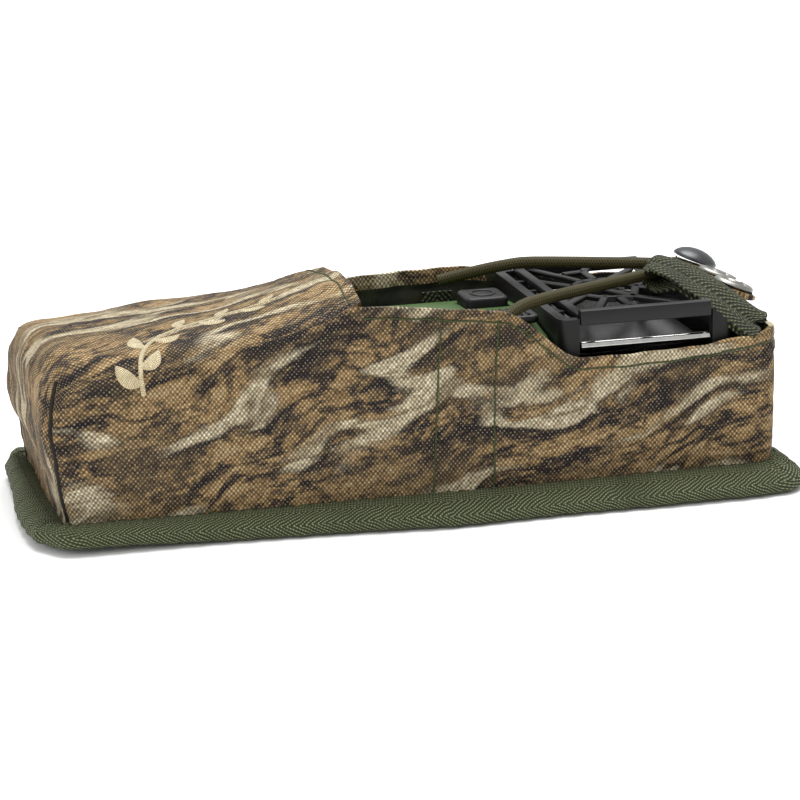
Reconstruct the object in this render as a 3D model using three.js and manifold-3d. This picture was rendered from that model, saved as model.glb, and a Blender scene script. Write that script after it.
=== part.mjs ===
// A camouflage holster that lies on its padded back, with a hand-held insect repeller in it.
// Millimetres, +Z up. X runs along the holster from its closed foot (-X) to its head end (+X), and -Y is the near side.
// The origin is the middle of the footprint, on the surface that the holster rests on.
import * as THREE from "three";
import { mergeVertices } from "three/addons/utils/BufferGeometryUtils.js";
import Module from "manifold-3d";

const wasm = await Module();
wasm.setup();

// ---------------------------------------------------------------- driving dimensions
const gap = 0.3; // between pieces that touch
const cloth = 1.6; // outer cloth with its turned edges
const lining = 0.8;

// repeller, in its own frame: x from its foot, z from its back
const repellerLength = 188;
const headLength = 51.8;
const headWidth = 65.2;
const headDepth = 42.3; // back to the top of the head's posts
const bodyWidth = 58;
const bodyDepth = 36.6; // back to the shoulder of the front shell
const bodyCrown = 2.2; // rise of the front shell over its shoulders
const shellWall = 2.2;
const headWall = 2.8;
const postLength = 5.8;
const partingHeight = 17.4; // where the two shells meet
const cartridgeRadius = 11;
const cartridgeLength = 72;
const buttonSize = 12.6;
const buttonTravel = 2.5;
const switchTravel = 7;
const runningGap = 0.4; // round a button or slider in its hole

// holster
const sideRoom = 1.8; // each side of the head
const footRoom = 4.5; // past the repeller's foot
const headRoom = 10.5; // past the repeller's head
const panelThickness = 6.2; // padded back
const loopThickness = 1.5; // belt loop webbing, under the back
const bindingWidth = 10.7;
const bindingCorner = 16;
const footHeight = 39.4; // rim heights are over the padded back
const nearHemHeight = 51;
const nearShoulderHeight = 47.5;
const farHemHeight = 44;
const farShoulderHeight = 43.5;
const lowRimHeight = 33;
const headRimHeight = 35.5;
const frontCrown = 4.8;
const hemBack = 59; // from the repeller's head back to the front panel's hem
const cordDiameter = 4;
const tabWidth = 15;
const beltLoopWidth = 38;
const beltLoopLength = 130;
const snapRadius = 6;

// ---------------------------------------------------------------- places worked out from them
const panelBottom = loopThickness + gap;
const panelTop = panelBottom + panelThickness;
const innerLength = footRoom + repellerLength + headRoom;
const innerHalf = headWidth / 2 + sideRoom;
const outerHalf = innerHalf + cloth;
const footX = -innerLength / 2;
const headEndX = innerLength / 2;
const outerFootX = footX - cloth;
const outerHeadX = headEndX + cloth;
const repellerX = footX + footRoom;
const repellerZ = panelTop + 2 * gap;
const headX = repellerX + repellerLength - headLength; // the holster's place for the head's back wall
const hemX = headX - hemBack;
const wallFoot = panelTop + gap;

// ---------------------------------------------------------------- colours
const paint = (hex, roughness, metalness = 0) =>
  new THREE.MeshStandardMaterial({ color: hex, roughness, metalness });
const camoCloth = paint(0x7a6a4e, 0.9);
const oliveLining = paint(0x2b3020, 0.85);
const oliveWebbing = paint(0x4c5638, 0.85);
const oliveCord = paint(0x4a4530, 0.8);
const greenPlastic = paint(0x5f8250, 0.45);
const blackPlastic = paint(0x232425, 0.5);
const polishedSteel = paint(0xd0d2d2, 0.15, 1);
const gunmetal = paint(0x55575a, 0.35, 1);
const nickel = paint(0xc9c9c4, 0.25, 1);
const brass = paint(0xb09050, 0.35, 1);
const blackRubber = paint(0x1a1a1a, 0.8);

// ---------------------------------------------------------------- solids
function toSolid(geometry) {
  const bare = geometry.clone();
  bare.deleteAttribute("normal");
  bare.deleteAttribute("uv");
  const merged = mergeVertices(bare, 1e-4);
  return new wasm.Manifold(
    new wasm.Mesh({
      numProp: 3,
      vertProperties: merged.attributes.position.array,
      triVerts: new Uint32Array(merged.index.array),
    }),
  );
}

function toGeometry(solid) {
  const mesh = solid.getMesh();
  const points = new Float32Array(mesh.numVert * 3);
  for (let i = 0; i < mesh.numVert; i++)
    points.set(mesh.vertProperties.subarray(i * mesh.numProp, i * mesh.numProp + 3), i * 3);
  return new THREE.BufferGeometry()
    .setAttribute("position", new THREE.BufferAttribute(points, 3))
    .setIndex(new THREE.BufferAttribute(mesh.triVerts, 1));
}

const join = (...geometries) =>
  toGeometry(geometries.map(toSolid).reduce((whole, piece) => whole.add(piece)));

const cut = (geometry, ...tools) =>
  toGeometry(tools.map(toSolid).reduce((whole, tool) => whole.subtract(tool), toSolid(geometry)));

const common = (a, b) => toGeometry(toSolid(a).intersect(toSolid(b)));

const block = (x0, x1, y0, y1, z0, z1) =>
  new THREE.BoxGeometry(x1 - x0, y1 - y0, z1 - z0).translate(
    (x0 + x1) / 2,
    (y0 + y1) / 2,
    (z0 + z1) / 2,
  );

const outline = (points) => new THREE.Shape(points.map(([a, b]) => new THREE.Vector2(a, b)));

function roundedRectangle(x0, x1, y0, y1, r) {
  const shape = new THREE.Shape();
  shape.moveTo(x0 + r, y0);
  shape.lineTo(x1 - r, y0);
  shape.absarc(x1 - r, y0 + r, r, -Math.PI / 2, 0);
  shape.lineTo(x1, y1 - r);
  shape.absarc(x1 - r, y1 - r, r, 0, Math.PI / 2);
  shape.lineTo(x0 + r, y1);
  shape.absarc(x0 + r, y1 - r, r, Math.PI / 2, Math.PI);
  shape.lineTo(x0, y0 + r);
  shape.absarc(x0 + r, y0 + r, r, Math.PI, 1.5 * Math.PI);
  return shape;
}

// A plan outline raised from z0 to z1, with its edges eased by bevel.
const raise = (shape, z0, z1, bevel = 0, curveSegments = 5) =>
  new THREE.ExtrudeGeometry(shape, {
    depth: z1 - z0 - 2 * bevel,
    bevelEnabled: bevel > 0,
    bevelThickness: bevel,
    bevelSize: bevel,
    bevelOffset: -bevel,
    bevelSegments: 2,
    curveSegments,
  }).translate(0, 0, z0 + bevel);

// An outline of (y, z) run along X, and an outline of (x, z) run along Y.
const alongX = (shape, x0, x1, bevel = 0, curveSegments = 5) =>
  raise(shape, x0, x1, bevel, curveSegments).applyMatrix4(
    new THREE.Matrix4().set(0, 0, 1, 0, 1, 0, 0, 0, 0, 1, 0, 0, 0, 0, 0, 1),
  );
const alongY = (shape, y0, y1, bevel = 0, curveSegments = 5) =>
  raise(shape, -y1, -y0, bevel, curveSegments).rotateX(Math.PI / 2);

// A turned piece: (radius, height) points about an axis through the origin, then laid along X or left along Z.
const turned = (profile, sides = 24) =>
  new THREE.LatheGeometry(profile.map(([r, h]) => new THREE.Vector2(r, h)), sides).rotateX(Math.PI / 2);
const turnedAlongX = (profile, sides) => turned(profile, sides).rotateY(Math.PI / 2);

// A sheet whose lower face is place(u, v), with u and v from 0 to 1, and whose upper face is thickness above it.
function sheet(place, thickness, uSteps, vSteps) {
  const points = [];
  const faces = [];
  const id = (i, j, top) => 2 * (i * (vSteps + 1) + j) + top;
  for (let i = 0; i <= uSteps; i++)
    for (let j = 0; j <= vSteps; j++) {
      const p = place(i / uSteps, j / vSteps);
      points.push(p.x, p.y, p.z, p.x, p.y, p.z + thickness);
    }
  const quad = (a, b, c, d) => faces.push(a, b, c, a, c, d);
  for (let i = 0; i < uSteps; i++)
    for (let j = 0; j < vSteps; j++) {
      quad(id(i, j, 1), id(i + 1, j, 1), id(i + 1, j + 1, 1), id(i, j + 1, 1));
      quad(id(i, j, 0), id(i, j + 1, 0), id(i + 1, j + 1, 0), id(i + 1, j, 0));
    }
  for (let i = 0; i < uSteps; i++) {
    quad(id(i, 0, 0), id(i + 1, 0, 0), id(i + 1, 0, 1), id(i, 0, 1));
    quad(id(i + 1, vSteps, 0), id(i, vSteps, 0), id(i, vSteps, 1), id(i + 1, vSteps, 1));
  }
  for (let j = 0; j < vSteps; j++) {
    quad(id(0, j + 1, 0), id(0, j, 0), id(0, j, 1), id(0, j + 1, 1));
    quad(id(uSteps, j, 0), id(uSteps, j + 1, 0), id(uSteps, j + 1, 1), id(uSteps, j, 1));
  }
  return new THREE.BufferGeometry()
    .setAttribute("position", new THREE.Float32BufferAttribute(points, 3))
    .setIndex(faces);
}

function place(group, name, geometry, material) {
  const mesh = new THREE.Mesh(geometry, material);
  mesh.name = name;
  group.add(mesh);
  return mesh;
}

const mix = THREE.MathUtils.lerp;

// ---------------------------------------------------------------- holster: padded back
const holster = new THREE.Group();
const halfLength = outerHeadX + bindingWidth;
const halfWidth = outerHalf + bindingWidth;
const coreCorner = bindingCorner - bindingWidth;
const panelOutline = (grow) =>
  roundedRectangle(
    outerFootX - grow,
    outerHeadX + grow,
    -outerHalf - grow,
    outerHalf + grow,
    coreCorner + grow,
  );
const bindingEase = 2.4;
const bindingBottom = 0.6;
place(holster, "padded_back", raise(panelOutline(0), panelBottom, panelTop), camoCloth);
place(
  holster,
  "edge_binding",
  cut(
    raise(panelOutline(bindingWidth), bindingBottom, panelTop - gap, bindingEase),
    raise(panelOutline(gap), 0, panelTop + gap),
  ),
  oliveWebbing,
);
place(
  holster,
  "belt_loop",
  raise(
    roundedRectangle(-beltLoopLength / 2, beltLoopLength / 2, -beltLoopWidth / 2, beltLoopWidth / 2, 2),
    0,
    loopThickness,
  ),
  oliveWebbing,
);

// ---------------------------------------------------------------- holster: walls
const footTop = wallFoot + footHeight;
const lowRim = wallFoot + lowRimHeight;
const headRim = wallFoot + headRimHeight;
const wallStart = footX + gap; // the foot and head walls run the full width, and the side walls stand between them
const wallEnd = headEndX - gap;

// A side wall's outline: up the foot, along the front panel to its hem, along the raised pocket and down to the low rim.
const sideOutline = (hemHeight, shoulderHeight, shoulderX, lowX, drop) =>
  outline([
    [wallStart + drop, wallFoot],
    [wallEnd - drop, wallFoot],
    [wallEnd - drop, headRim - drop],
    [lowX, lowRim - drop],
    [shoulderX, wallFoot + shoulderHeight - drop],
    [hemX, wallFoot + hemHeight - drop],
    [wallStart + drop, footTop - drop],
  ]);
const nearOutline = (drop) =>
  sideOutline(nearHemHeight, nearShoulderHeight, headX - 17, headX + 3, drop);
const farOutline = (drop) =>
  sideOutline(farHemHeight, farShoulderHeight, headX - 6, headX + 11, drop);
const liningDrop = 3; // the lining stops this far short of each edge
place(holster, "near_wall", alongY(nearOutline(0), -outerHalf, -innerHalf), camoCloth);
place(holster, "far_wall", alongY(farOutline(0), innerHalf, outerHalf), camoCloth);
place(
  holster,
  "near_lining",
  alongY(nearOutline(liningDrop), -innerHalf + gap, -innerHalf + gap + lining),
  oliveLining,
);
place(
  holster,
  "far_lining",
  alongY(farOutline(liningDrop), innerHalf - gap - lining, innerHalf - gap),
  oliveLining,
);

// End walls: the foot's upper edge follows the front panel's crown, and the head's is straight.
const endOutline = (top, crown) => {
  const shape = new THREE.Shape();
  shape.moveTo(-outerHalf, wallFoot);
  shape.lineTo(outerHalf, wallFoot);
  shape.lineTo(outerHalf, top);
  shape.quadraticCurveTo(0, top + 2 * crown, -outerHalf, top);
  return shape;
};
place(holster, "foot_wall", alongX(endOutline(footTop, frontCrown), outerFootX, footX), camoCloth);
place(holster, "head_wall", alongX(endOutline(headRim, 0), headEndX, outerHeadX), camoCloth);

// Front panel: ruled from the foot to the hem, crowned between the two side walls.
place(
  holster,
  "front_panel",
  sheet(
    (u, v) => {
      const y = mix(-outerHalf, outerHalf, v);
      const hem = mix(nearHemHeight, farHemHeight, v);
      const z = wallFoot + gap + mix(footHeight, hem, u) + frontCrown * (1 - (y / outerHalf) ** 2);
      return new THREE.Vector3(mix(outerFootX, hemX, u), y, z);
    },
    cloth,
    1,
    12,
  ),
  camoCloth,
);

// ---------------------------------------------------------------- bungee and its pull tab
// The cord runs from the near anchor over the grille, round a bight held by the tab, and back to the far anchor.
// Each point is (along X from the head's back wall, share of the pouch's half width, height from where it crosses the grille).
const railRise = 2.4; // grille's side rails over the head's posts
const cordHeight = repellerZ + headDepth + railRise + cordDiameter / 2 + 0.1;
const cordRoute = [
  [-17.2, -0.898, -5],
  [-14.2, -0.86, -2.8],
  [-10.2, -0.802, -1],
  [-5.2, -0.733, -0.2],
  [6.8, -0.561, 0],
  [18.8, -0.39, 0],
  [30.8, -0.218, 0],
  [36.8, -0.134, 0],
  [40.4, -0.081, 0],
  [43, -0.012, 0],
  [43.8, 0.078, 0],
  [42.6, 0.174, 0],
  [39.8, 0.238, 0],
  [35.8, 0.288, 0],
  [26.8, 0.392, 0],
  [16.8, 0.509, 0],
  [6.8, 0.625, -0.2],
  [0.8, 0.698, -1.2],
  [-5.2, 0.785, -2.8],
  [-11.2, 0.855, -4.5],
  [-17.2, 0.898, -6],
].map(([x, y, z]) => [headX + x, y * innerHalf, cordHeight + z]);
const cordSteps = 64;
const octagon = outline(
  Array.from({ length: 8 }, (_, i) => {
    const angle = (i * Math.PI) / 4;
    return [(cordDiameter / 2) * Math.cos(angle), (cordDiameter / 2) * Math.sin(angle)];
  }),
);
const retention = new THREE.Group();
place(
  retention,
  "bungee_cord",
  new THREE.ExtrudeGeometry(octagon, {
    steps: cordSteps,
    bevelEnabled: false,
    extrudePath: new THREE.CatmullRomCurve3(cordRoute.map((p) => new THREE.Vector3(...p))),
  }),
  oliveCord,
);

// Webbing folded over the bight: two layers that part round the cord and run down past the head to a free end.
const tabStart = [headX + 37.8, -0.174 * innerHalf]; // plan place of the mouth's middle, over the bight
const tabEnd = [headEndX - 4.5, tabStart[1] - 20.5];
const tabLength = Math.hypot(tabEnd[0] - tabStart[0], tabEnd[1] - tabStart[1]);
const cordTop = cordHeight + cordDiameter / 2;
const layer = 1.2;
const tabMouth = cordDiameter + 2 * gap;
const tabUnder = cordTop + gap - tabMouth - layer;
const tabProfile = outline([
  [0, cordTop + gap + layer],
  [0, cordTop + gap],
  [0.2 * tabLength, cordTop + gap],
  [0.3 * tabLength, cordTop - 1.6],
  [0.3 * tabLength, tabUnder + layer],
  [0, tabUnder + layer],
  [0, tabUnder],
  [0.46 * tabLength, tabUnder],
  [0.74 * tabLength, cordTop - 6],
  [tabLength, headRim + 0.5],
  [tabLength, headRim + 0.5 + 2 * layer],
  [0.76 * tabLength, cordTop - 3.8],
  [0.5 * tabLength, cordTop - 2.2],
  [0.25 * tabLength, cordTop + gap + layer],
]);
const pullTab = place(
  retention,
  "pull_tab",
  alongY(tabProfile, -tabWidth / 2, tabWidth / 2),
  oliveWebbing,
);
pullTab.position.set(tabStart[0], tabStart[1], 0);
pullTab.rotation.z = Math.atan2(tabEnd[1] - tabStart[1], tabEnd[0] - tabStart[0]);

// Stitched webbing anchors inside the side walls, where the cord's two ends are sewn in.
const [nearCordEnd, farCordEnd] = [cordRoute[0], cordRoute[cordRoute.length - 1]];
const anchorLength = 9;
const anchorHeight = 14;
const anchorThickness = 1.2;
for (const [side, end] of [["near", nearCordEnd], ["far", farCordEnd]]) {
  const inward = side === "near" ? 1 : -1;
  const outerFace = inward * (-innerHalf + 2 * gap + lining);
  const innerFace = outerFace + inward * anchorThickness;
  const anchorTop = end[2] - cordDiameter / 2 - 1.6; // clear of the cord's end as the loop swings
  place(
    holster,
    `bungee_anchor_${side}`,
    block(
      end[0] - anchorLength / 2,
      end[0] + anchorLength / 2,
      Math.min(outerFace, innerFace),
      Math.max(outerFace, innerFace),
      anchorTop - anchorHeight,
      anchorTop,
    ),
    oliveWebbing,
  );
}

// ---------------------------------------------------------------- closure strap with its press studs
const strap = new THREE.Group();
const strapWidth = 13;
const strapThickness = 2;
const strapTilt = 0.38; // radians, down towards +X
const strapFarY = innerHalf - 3;
const strapNearY = -9;
strap.position.set(headEndX - 0.6, 0, headRim + 3.6);
strap.rotation.y = strapTilt;
place(
  strap,
  "closure_strap",
  raise(
    roundedRectangle(-strapWidth / 2, strapWidth / 2, strapNearY, strapFarY, 3),
    0,
    strapThickness,
    0,
    3,
  ),
  camoCloth,
);
const studTop = strapThickness + gap;
const domeProfile = (r) => [
  [0, 0],
  [r - 0.6, 0],
  [r, 0.8],
  [r - 0.5, 1.7],
  [r * 0.6, 2.9],
  [0, 3.3],
];
const socketProfile = (r) => [
  [0, 0],
  [r, 0],
  [r, 0.9],
  [r - 0.8, 1.5],
  [r - 2, 1.5],
  [r - 2.5, 0.8],
  [r - 3.2, 0.8],
  [r - 3.6, 1.7],
  [0, 1.7],
];
const studs = [
  ["snap_cap", 24, domeProfile(snapRadius + 0.6), gunmetal],
  ["snap_socket_1", 11, socketProfile(snapRadius), nickel],
  ["snap_socket_2", -2.4, socketProfile(snapRadius), nickel],
];
for (const [name, y, profile, metal] of studs)
  place(strap, name, turned(profile, 20), metal).position.set(0, y, studTop);

// ---------------------------------------------------------------- repeller: shells
const repeller = new THREE.Group();
repeller.position.set(repellerX, 0, repellerZ);
const neckX = repellerLength - headLength; // the head's back wall
const shellEnd = neckX - gap;
const bodySection = (inset) => {
  const half = bodyWidth / 2 - inset;
  const shoulder = bodyDepth - inset;
  const r = 8 - inset;
  const shape = new THREE.Shape();
  shape.moveTo(-half + r, inset);
  shape.lineTo(half - r, inset);
  shape.absarc(half - r, inset + r, r, -Math.PI / 2, 0);
  shape.lineTo(half, shoulder - r);
  shape.absarc(half - r, shoulder - r, r, 0, Math.PI / 2);
  shape.quadraticCurveTo(0, shoulder + 2 * bodyCrown, -half + r, shoulder);
  shape.absarc(-half + r, shoulder - r, r, Math.PI / 2, Math.PI);
  shape.lineTo(-half, inset + r);
  shape.absarc(-half + r, inset + r, r, Math.PI, 1.5 * Math.PI);
  return shape;
};
const bodyShell = cut(
  alongX(bodySection(0), 0, shellEnd, 1.6, 4),
  alongX(bodySection(shellWall), shellWall, shellEnd + 5, 0, 4),
);
const farPast = 200; // beyond any face of the repeller
const above = (z) => block(-farPast, farPast, -farPast, farPast, z, farPast);
const below = (z) => block(-farPast, farPast, -farPast, farPast, -farPast, z);
const axisZ = partingHeight + gap; // the cartridge, valve and burner share one axis
const cartridgeBore = turnedAlongX(
  [[0, -5], [cartridgeRadius + runningGap, -5], [cartridgeRadius + runningGap, 5], [0, 5]],
  24,
).translate(0, 0, axisZ);

// controls on the front shell
const buttonPlace = [neckX - 10, 9.5];
const switchPlace = [neckX - 9, -12];
const switchSlot = { length: 4 + switchTravel, width: 4 };
const buttonHole = block(
  buttonPlace[0] - buttonSize / 2 - runningGap,
  buttonPlace[0] + buttonSize / 2 + runningGap,
  buttonPlace[1] - buttonSize / 2 - runningGap,
  buttonPlace[1] + buttonSize / 2 + runningGap,
  partingHeight + 5,
  farPast,
);
const slotHole = block(
  switchPlace[0] - switchSlot.width / 2 - runningGap,
  switchPlace[0] + switchSlot.width / 2 + runningGap,
  switchPlace[1] - 2 - switchTravel / 2 - runningGap,
  switchPlace[1] + 2 + switchTravel / 2 + runningGap,
  partingHeight + 5,
  farPast,
);
place(
  repeller,
  "front_shell",
  cut(bodyShell, below(partingHeight + gap / 2), cartridgeBore, buttonHole, slotHole),
  greenPlastic,
);
const screwPlaces = [
  [14, -22.5],
  [14, 22.5],
  [neckX - 14, -22.5],
  [neckX - 14, 22.5],
];
const screwRadius = 1.5;
const bosses = screwPlaces.map(([x, y]) =>
  turned([[0, shellWall / 2], [4, shellWall / 2], [4, partingHeight - gap], [0, partingHeight - gap]], 12)
    .translate(x, y, 0),
);
const screwBores = screwPlaces.map(([x, y]) =>
  turned(
    [
      [0, -5],
      [3.3, -5],
      [3.3, 2.5],
      [screwRadius + gap, 2.5],
      [screwRadius + gap, partingHeight + 5],
      [0, partingHeight + 5],
    ],
    12,
  ).translate(x, y, 0),
);
place(
  repeller,
  "rear_shell",
  cut(
    join(cut(bodyShell, above(partingHeight - gap / 2), cartridgeBore), ...bosses),
    ...screwBores,
  ),
  greenPlastic,
);
screwPlaces.forEach(([x, y], i) =>
  place(
    repeller,
    `shell_screw_${i + 1}`,
    turned([[0, 0.8], [3, 0.8], [3, 2.2], [screwRadius, 2.2], [screwRadius, partingHeight], [0, partingHeight]], 12),
    nickel,
  ).position.set(x, y, 0),
);

// ---------------------------------------------------------------- repeller: head
const headHalf = headWidth / 2;
const headEnd = repellerLength;
const railTop = headDepth + railRise;
const ribTop = headDepth + 0.7;
const windowFloor = 22;
const coverStart = neckX + postLength + gap;
const coverEnd = headEnd - postLength - 1 - gap;
const endSlope = 6.5;
const trayLevel = headDepth - 10.6;

// The frame: a deep tray with a post at each corner, open on top and through both sides.
const headOuter = raise(
  roundedRectangle(neckX, headEnd, -headHalf, headHalf, 3),
  0,
  headDepth,
  0,
  3,
);
const headHollow = raise(
  roundedRectangle(neckX + headWall, headEnd - headWall, -headHalf + headWall, headHalf - headWall, 1.5),
  headWall,
  farPast,
  0,
  3,
);
const sideWindow = block(coverStart - gap, coverEnd + gap, -farPast, farPast, windowFloor, farPast);
const slopedEnd = alongY(
  outline([
    [headEnd - endSlope, headDepth],
    [headEnd + 1, headDepth - endSlope],
    [headEnd + 1, headDepth + 1],
    [headEnd - endSlope, headDepth + 1],
  ]),
  -farPast,
  farPast,
);
const headPipe = turnedAlongX([[0, -6], [2.4, -6], [2.4, 6], [0, 6]], 16).translate(neckX, 0, axisZ);
const stubRib = (y) => block(neckX + 1, coverStart - 2 * gap, y - 0.8, y + 0.8, headDepth - 4, headDepth - 0.6);
place(
  repeller,
  "head_frame",
  join(
    cut(headOuter, headHollow, sideWindow, slopedEnd, headPipe),
    stubRib(-19),
    stubRib(-7),
    stubRib(7),
    stubRib(19),
  ),
  blackPlastic,
);

// The grille: two side rails, two end bars and a web of straight ribs.
const coverHalf = headHalf;
const railWidth = 3;
const endBar = 2.6;
const ribWidth = 1.5;
const coverBottom = headDepth - 2;
const webStart = coverStart + endBar / 2;
const webEnd = coverEnd - endBar / 2;
const webHalf = coverHalf - railWidth / 2;
// Rib ends as shares of the web's length and half width; each rib is also mirrored to the other side.
const ribs = [
  [0.0, 0.5, 0.24, 0.18],
  [0.24, 0.18, 0.24, -0.18],
  [0.08, 1.0, 0.36, 0.34],
  [0.36, 0.34, 0.24, 0.18],
  [0.36, 0.34, 0.6, 0.36],
  [0.48, 0.35, 0.48, 0.72],
  [0.3, 0.68, 0.48, 0.72],
  [0.6, 0.36, 0.84, 0.64],
  [0.84, 0.64, 1.0, 1.0],
  [0.48, 0.72, 0.62, 1.0],
  [0.6, 0.36, 0.72, 0.0],
  [0.72, 0.0, 1.0, 0.3],
  [0.24, 0.0, 0.44, 0.0],
  [0.44, 0.0, 0.6, 0.36],
];
const ribBlock = (u0, v0, u1, v1, side) => {
  const from = new THREE.Vector2(mix(webStart, webEnd, u0), side * v0 * webHalf);
  const to = new THREE.Vector2(mix(webStart, webEnd, u1), side * v1 * webHalf);
  const run = to.clone().sub(from);
  const half = run.length() / 2 + ribWidth / 3;
  return block(-half, half, -ribWidth / 2, ribWidth / 2, coverBottom + 0.8, ribTop)
    .rotateZ(run.angle())
    .translate((from.x + to.x) / 2, (from.y + to.y) / 2, 0);
};
const rail = (y0, y1) => block(coverStart, coverEnd, y0, y1, coverBottom, railTop);
const bar = (x0) => block(x0, x0 + endBar, -coverHalf + 1, coverHalf - 1, coverBottom, ribTop);
place(
  repeller,
  "grille_cover",
  join(
    rail(-coverHalf, -coverHalf + railWidth),
    rail(coverHalf - railWidth, coverHalf),
    bar(coverStart),
    bar(coverEnd - endBar),
    ...[-1, 1].flatMap((side) => ribs.map((rib) => ribBlock(...rib, side))),
  ),
  blackPlastic,
);

// The heat shield: a polished tray under the grille, with a rolled edge along each side window.
const rollRadius = 1.1;
const shieldHalf = headHalf - 1.4;
const shieldStart = coverStart;
const shieldEnd = coverEnd;
const roll = (y) =>
  turnedAlongX([[0, shieldStart], [rollRadius, shieldStart], [rollRadius, shieldEnd], [0, shieldEnd]], 12)
    .translate(0, y, trayLevel + 1.2);
place(
  repeller,
  "heat_shield",
  join(
    block(shieldStart, shieldEnd, -shieldHalf, shieldHalf, trayLevel, trayLevel + 0.8),
    roll(-shieldHalf),
    roll(shieldHalf),
  ),
  polishedSteel,
);
const burnerEnd = neckX + 18;
place(
  repeller,
  "heater_block",
  block(shieldStart + 6, shieldEnd - 6, -13, 13, axisZ + 9, trayLevel - gap),
  polishedSteel,
);
place(
  repeller,
  "burner",
  turnedAlongX(
    [[0, neckX + 8], [7, neckX + 8], [8, neckX + 10], [8, burnerEnd], [5, burnerEnd], [5, neckX + 12], [0, neckX + 12]],
    20,
  ).translate(0, 0, axisZ),
  polishedSteel,
);

// ---------------------------------------------------------------- repeller: gas and ignition
const neckRadius = 4;
const neckLength = 6;
const jetRadius = 1.4;
const cartridgeWall = 1;
const cartridgeX = 2;
const cartridgeEnd = cartridgeX + cartridgeLength;
place(
  repeller,
  "butane_cartridge",
  turnedAlongX(
    [
      [0, cartridgeX],
      [cartridgeRadius - 1.5, cartridgeX],
      [cartridgeRadius, cartridgeX + 1.5],
      [cartridgeRadius, cartridgeEnd - 6],
      [neckRadius + 2, cartridgeEnd],
      [neckRadius, cartridgeEnd],
      [neckRadius, cartridgeEnd + neckLength],
      [jetRadius, cartridgeEnd + neckLength],
      [jetRadius, cartridgeEnd - 1],
      [cartridgeRadius - cartridgeWall, cartridgeEnd - 7],
      [cartridgeRadius - cartridgeWall, cartridgeX + cartridgeWall],
      [0, cartridgeX + cartridgeWall],
    ],
    24,
  ).translate(0, 0, axisZ),
  gunmetal,
);
const sealLength = 1.6;
place(
  repeller,
  "cartridge_seal",
  turnedAlongX(
    [
      [neckRadius + gap, cartridgeEnd + gap],
      [neckRadius + 2, cartridgeEnd + gap],
      [neckRadius + 2, cartridgeEnd + gap + sealLength],
      [neckRadius + gap, cartridgeEnd + gap + sealLength],
      [neckRadius + gap, cartridgeEnd + gap],
    ],
    20,
  ).translate(0, 0, axisZ),
  blackRubber,
);
const valveStart = cartridgeEnd + 2 * gap + sealLength;
const valveEnd = valveStart + 16;
const valveRadius = 7;
const socketEnd = cartridgeEnd + neckLength + 2 * gap;
place(
  repeller,
  "gas_valve",
  turnedAlongX(
    [
      [neckRadius + gap, valveStart],
      [valveRadius, valveStart],
      [valveRadius, valveEnd - 4],
      [valveRadius - 3, valveEnd],
      [0, valveEnd],
      [0, socketEnd],
      [neckRadius + gap, socketEnd],
      [neckRadius + gap, valveStart],
    ],
    20,
  ).translate(0, 0, axisZ),
  brass,
);
place(
  repeller,
  "gas_tube",
  turnedAlongX(
    [[0, valveEnd + gap], [jetRadius, valveEnd + gap], [jetRadius, neckX + 8 - gap], [0, neckX + 8 - gap]],
    12,
  ).translate(0, 0, axisZ),
  brass,
);

// The igniter: a push button on a spring over a piezo striker.
const controlTop = bodyDepth + bodyCrown + 2.6;
const buttonBottom = bodyDepth - 6;
const springHeight = 6;
const piezoTop = buttonBottom - 2 * gap - springHeight;
const [buttonX, buttonY] = buttonPlace;
place(
  repeller,
  "igniter_button",
  raise(
    roundedRectangle(-buttonSize / 2, buttonSize / 2, -buttonSize / 2, buttonSize / 2, 2),
    buttonBottom,
    controlTop,
    0.8,
    3,
  ),
  blackPlastic,
).position.set(buttonX, buttonY, 0);
place(
  repeller,
  "igniter_piezo",
  raise(roundedRectangle(-6, 6, -4.5, 4.5, 1), axisZ + 3, piezoTop, 0, 3),
  blackPlastic,
).position.set(buttonX, buttonY, 0);
const springTurns = 4;
const springRadius = 3.6;
const springWire = 0.6;
class Helix extends THREE.Curve {
  getPoint(t, target = new THREE.Vector3()) {
    const angle = 2 * Math.PI * springTurns * t;
    const rise = springHeight - 2 * springWire;
    return target.set(
      springRadius * Math.cos(angle),
      springRadius * Math.sin(angle),
      springWire + rise * t,
    );
  }
}
place(
  repeller,
  "button_spring",
  new THREE.ExtrudeGeometry(
    outline(
      Array.from({ length: 6 }, (_, i) => {
        const angle = (i * Math.PI) / 3;
        return [springWire * Math.cos(angle), springWire * Math.sin(angle)];
      }),
    ),
    { steps: 14 * springTurns, bevelEnabled: false, extrudePath: new Helix() },
  ),
  nickel,
).position.set(buttonX, buttonY, piezoTop + gap);

// The on-off switch: a knob whose stem slides across the body in a slot.
const knobBottom = bodyDepth + bodyCrown + gap;
const [switchX, switchY] = switchPlace;
const knobHalf = 7;
place(
  repeller,
  "switch_slider",
  join(
    raise(roundedRectangle(-knobHalf, knobHalf, -5.5, 5.5, 2), knobBottom, controlTop, 0.7, 3),
    block(-switchSlot.width / 2, switchSlot.width / 2, -2, 2, bodyDepth - 4, controlTop - 0.8),
  ),
  blackPlastic,
).position.set(switchX, switchY - switchTravel / 2, 0);

// ---------------------------------------------------------------- the whole
const whole = new THREE.Group();
whole.add(holster, retention, strap, repeller);

export default whole;
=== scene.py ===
# A camouflage holster lying on its padded back, with a hand-held insect repeller in it.
import math

import bmesh
import bpy
import numpy as np
from mathutils import Matrix, Vector, noise
from mathutils.bvhtree import BVHTree


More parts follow.
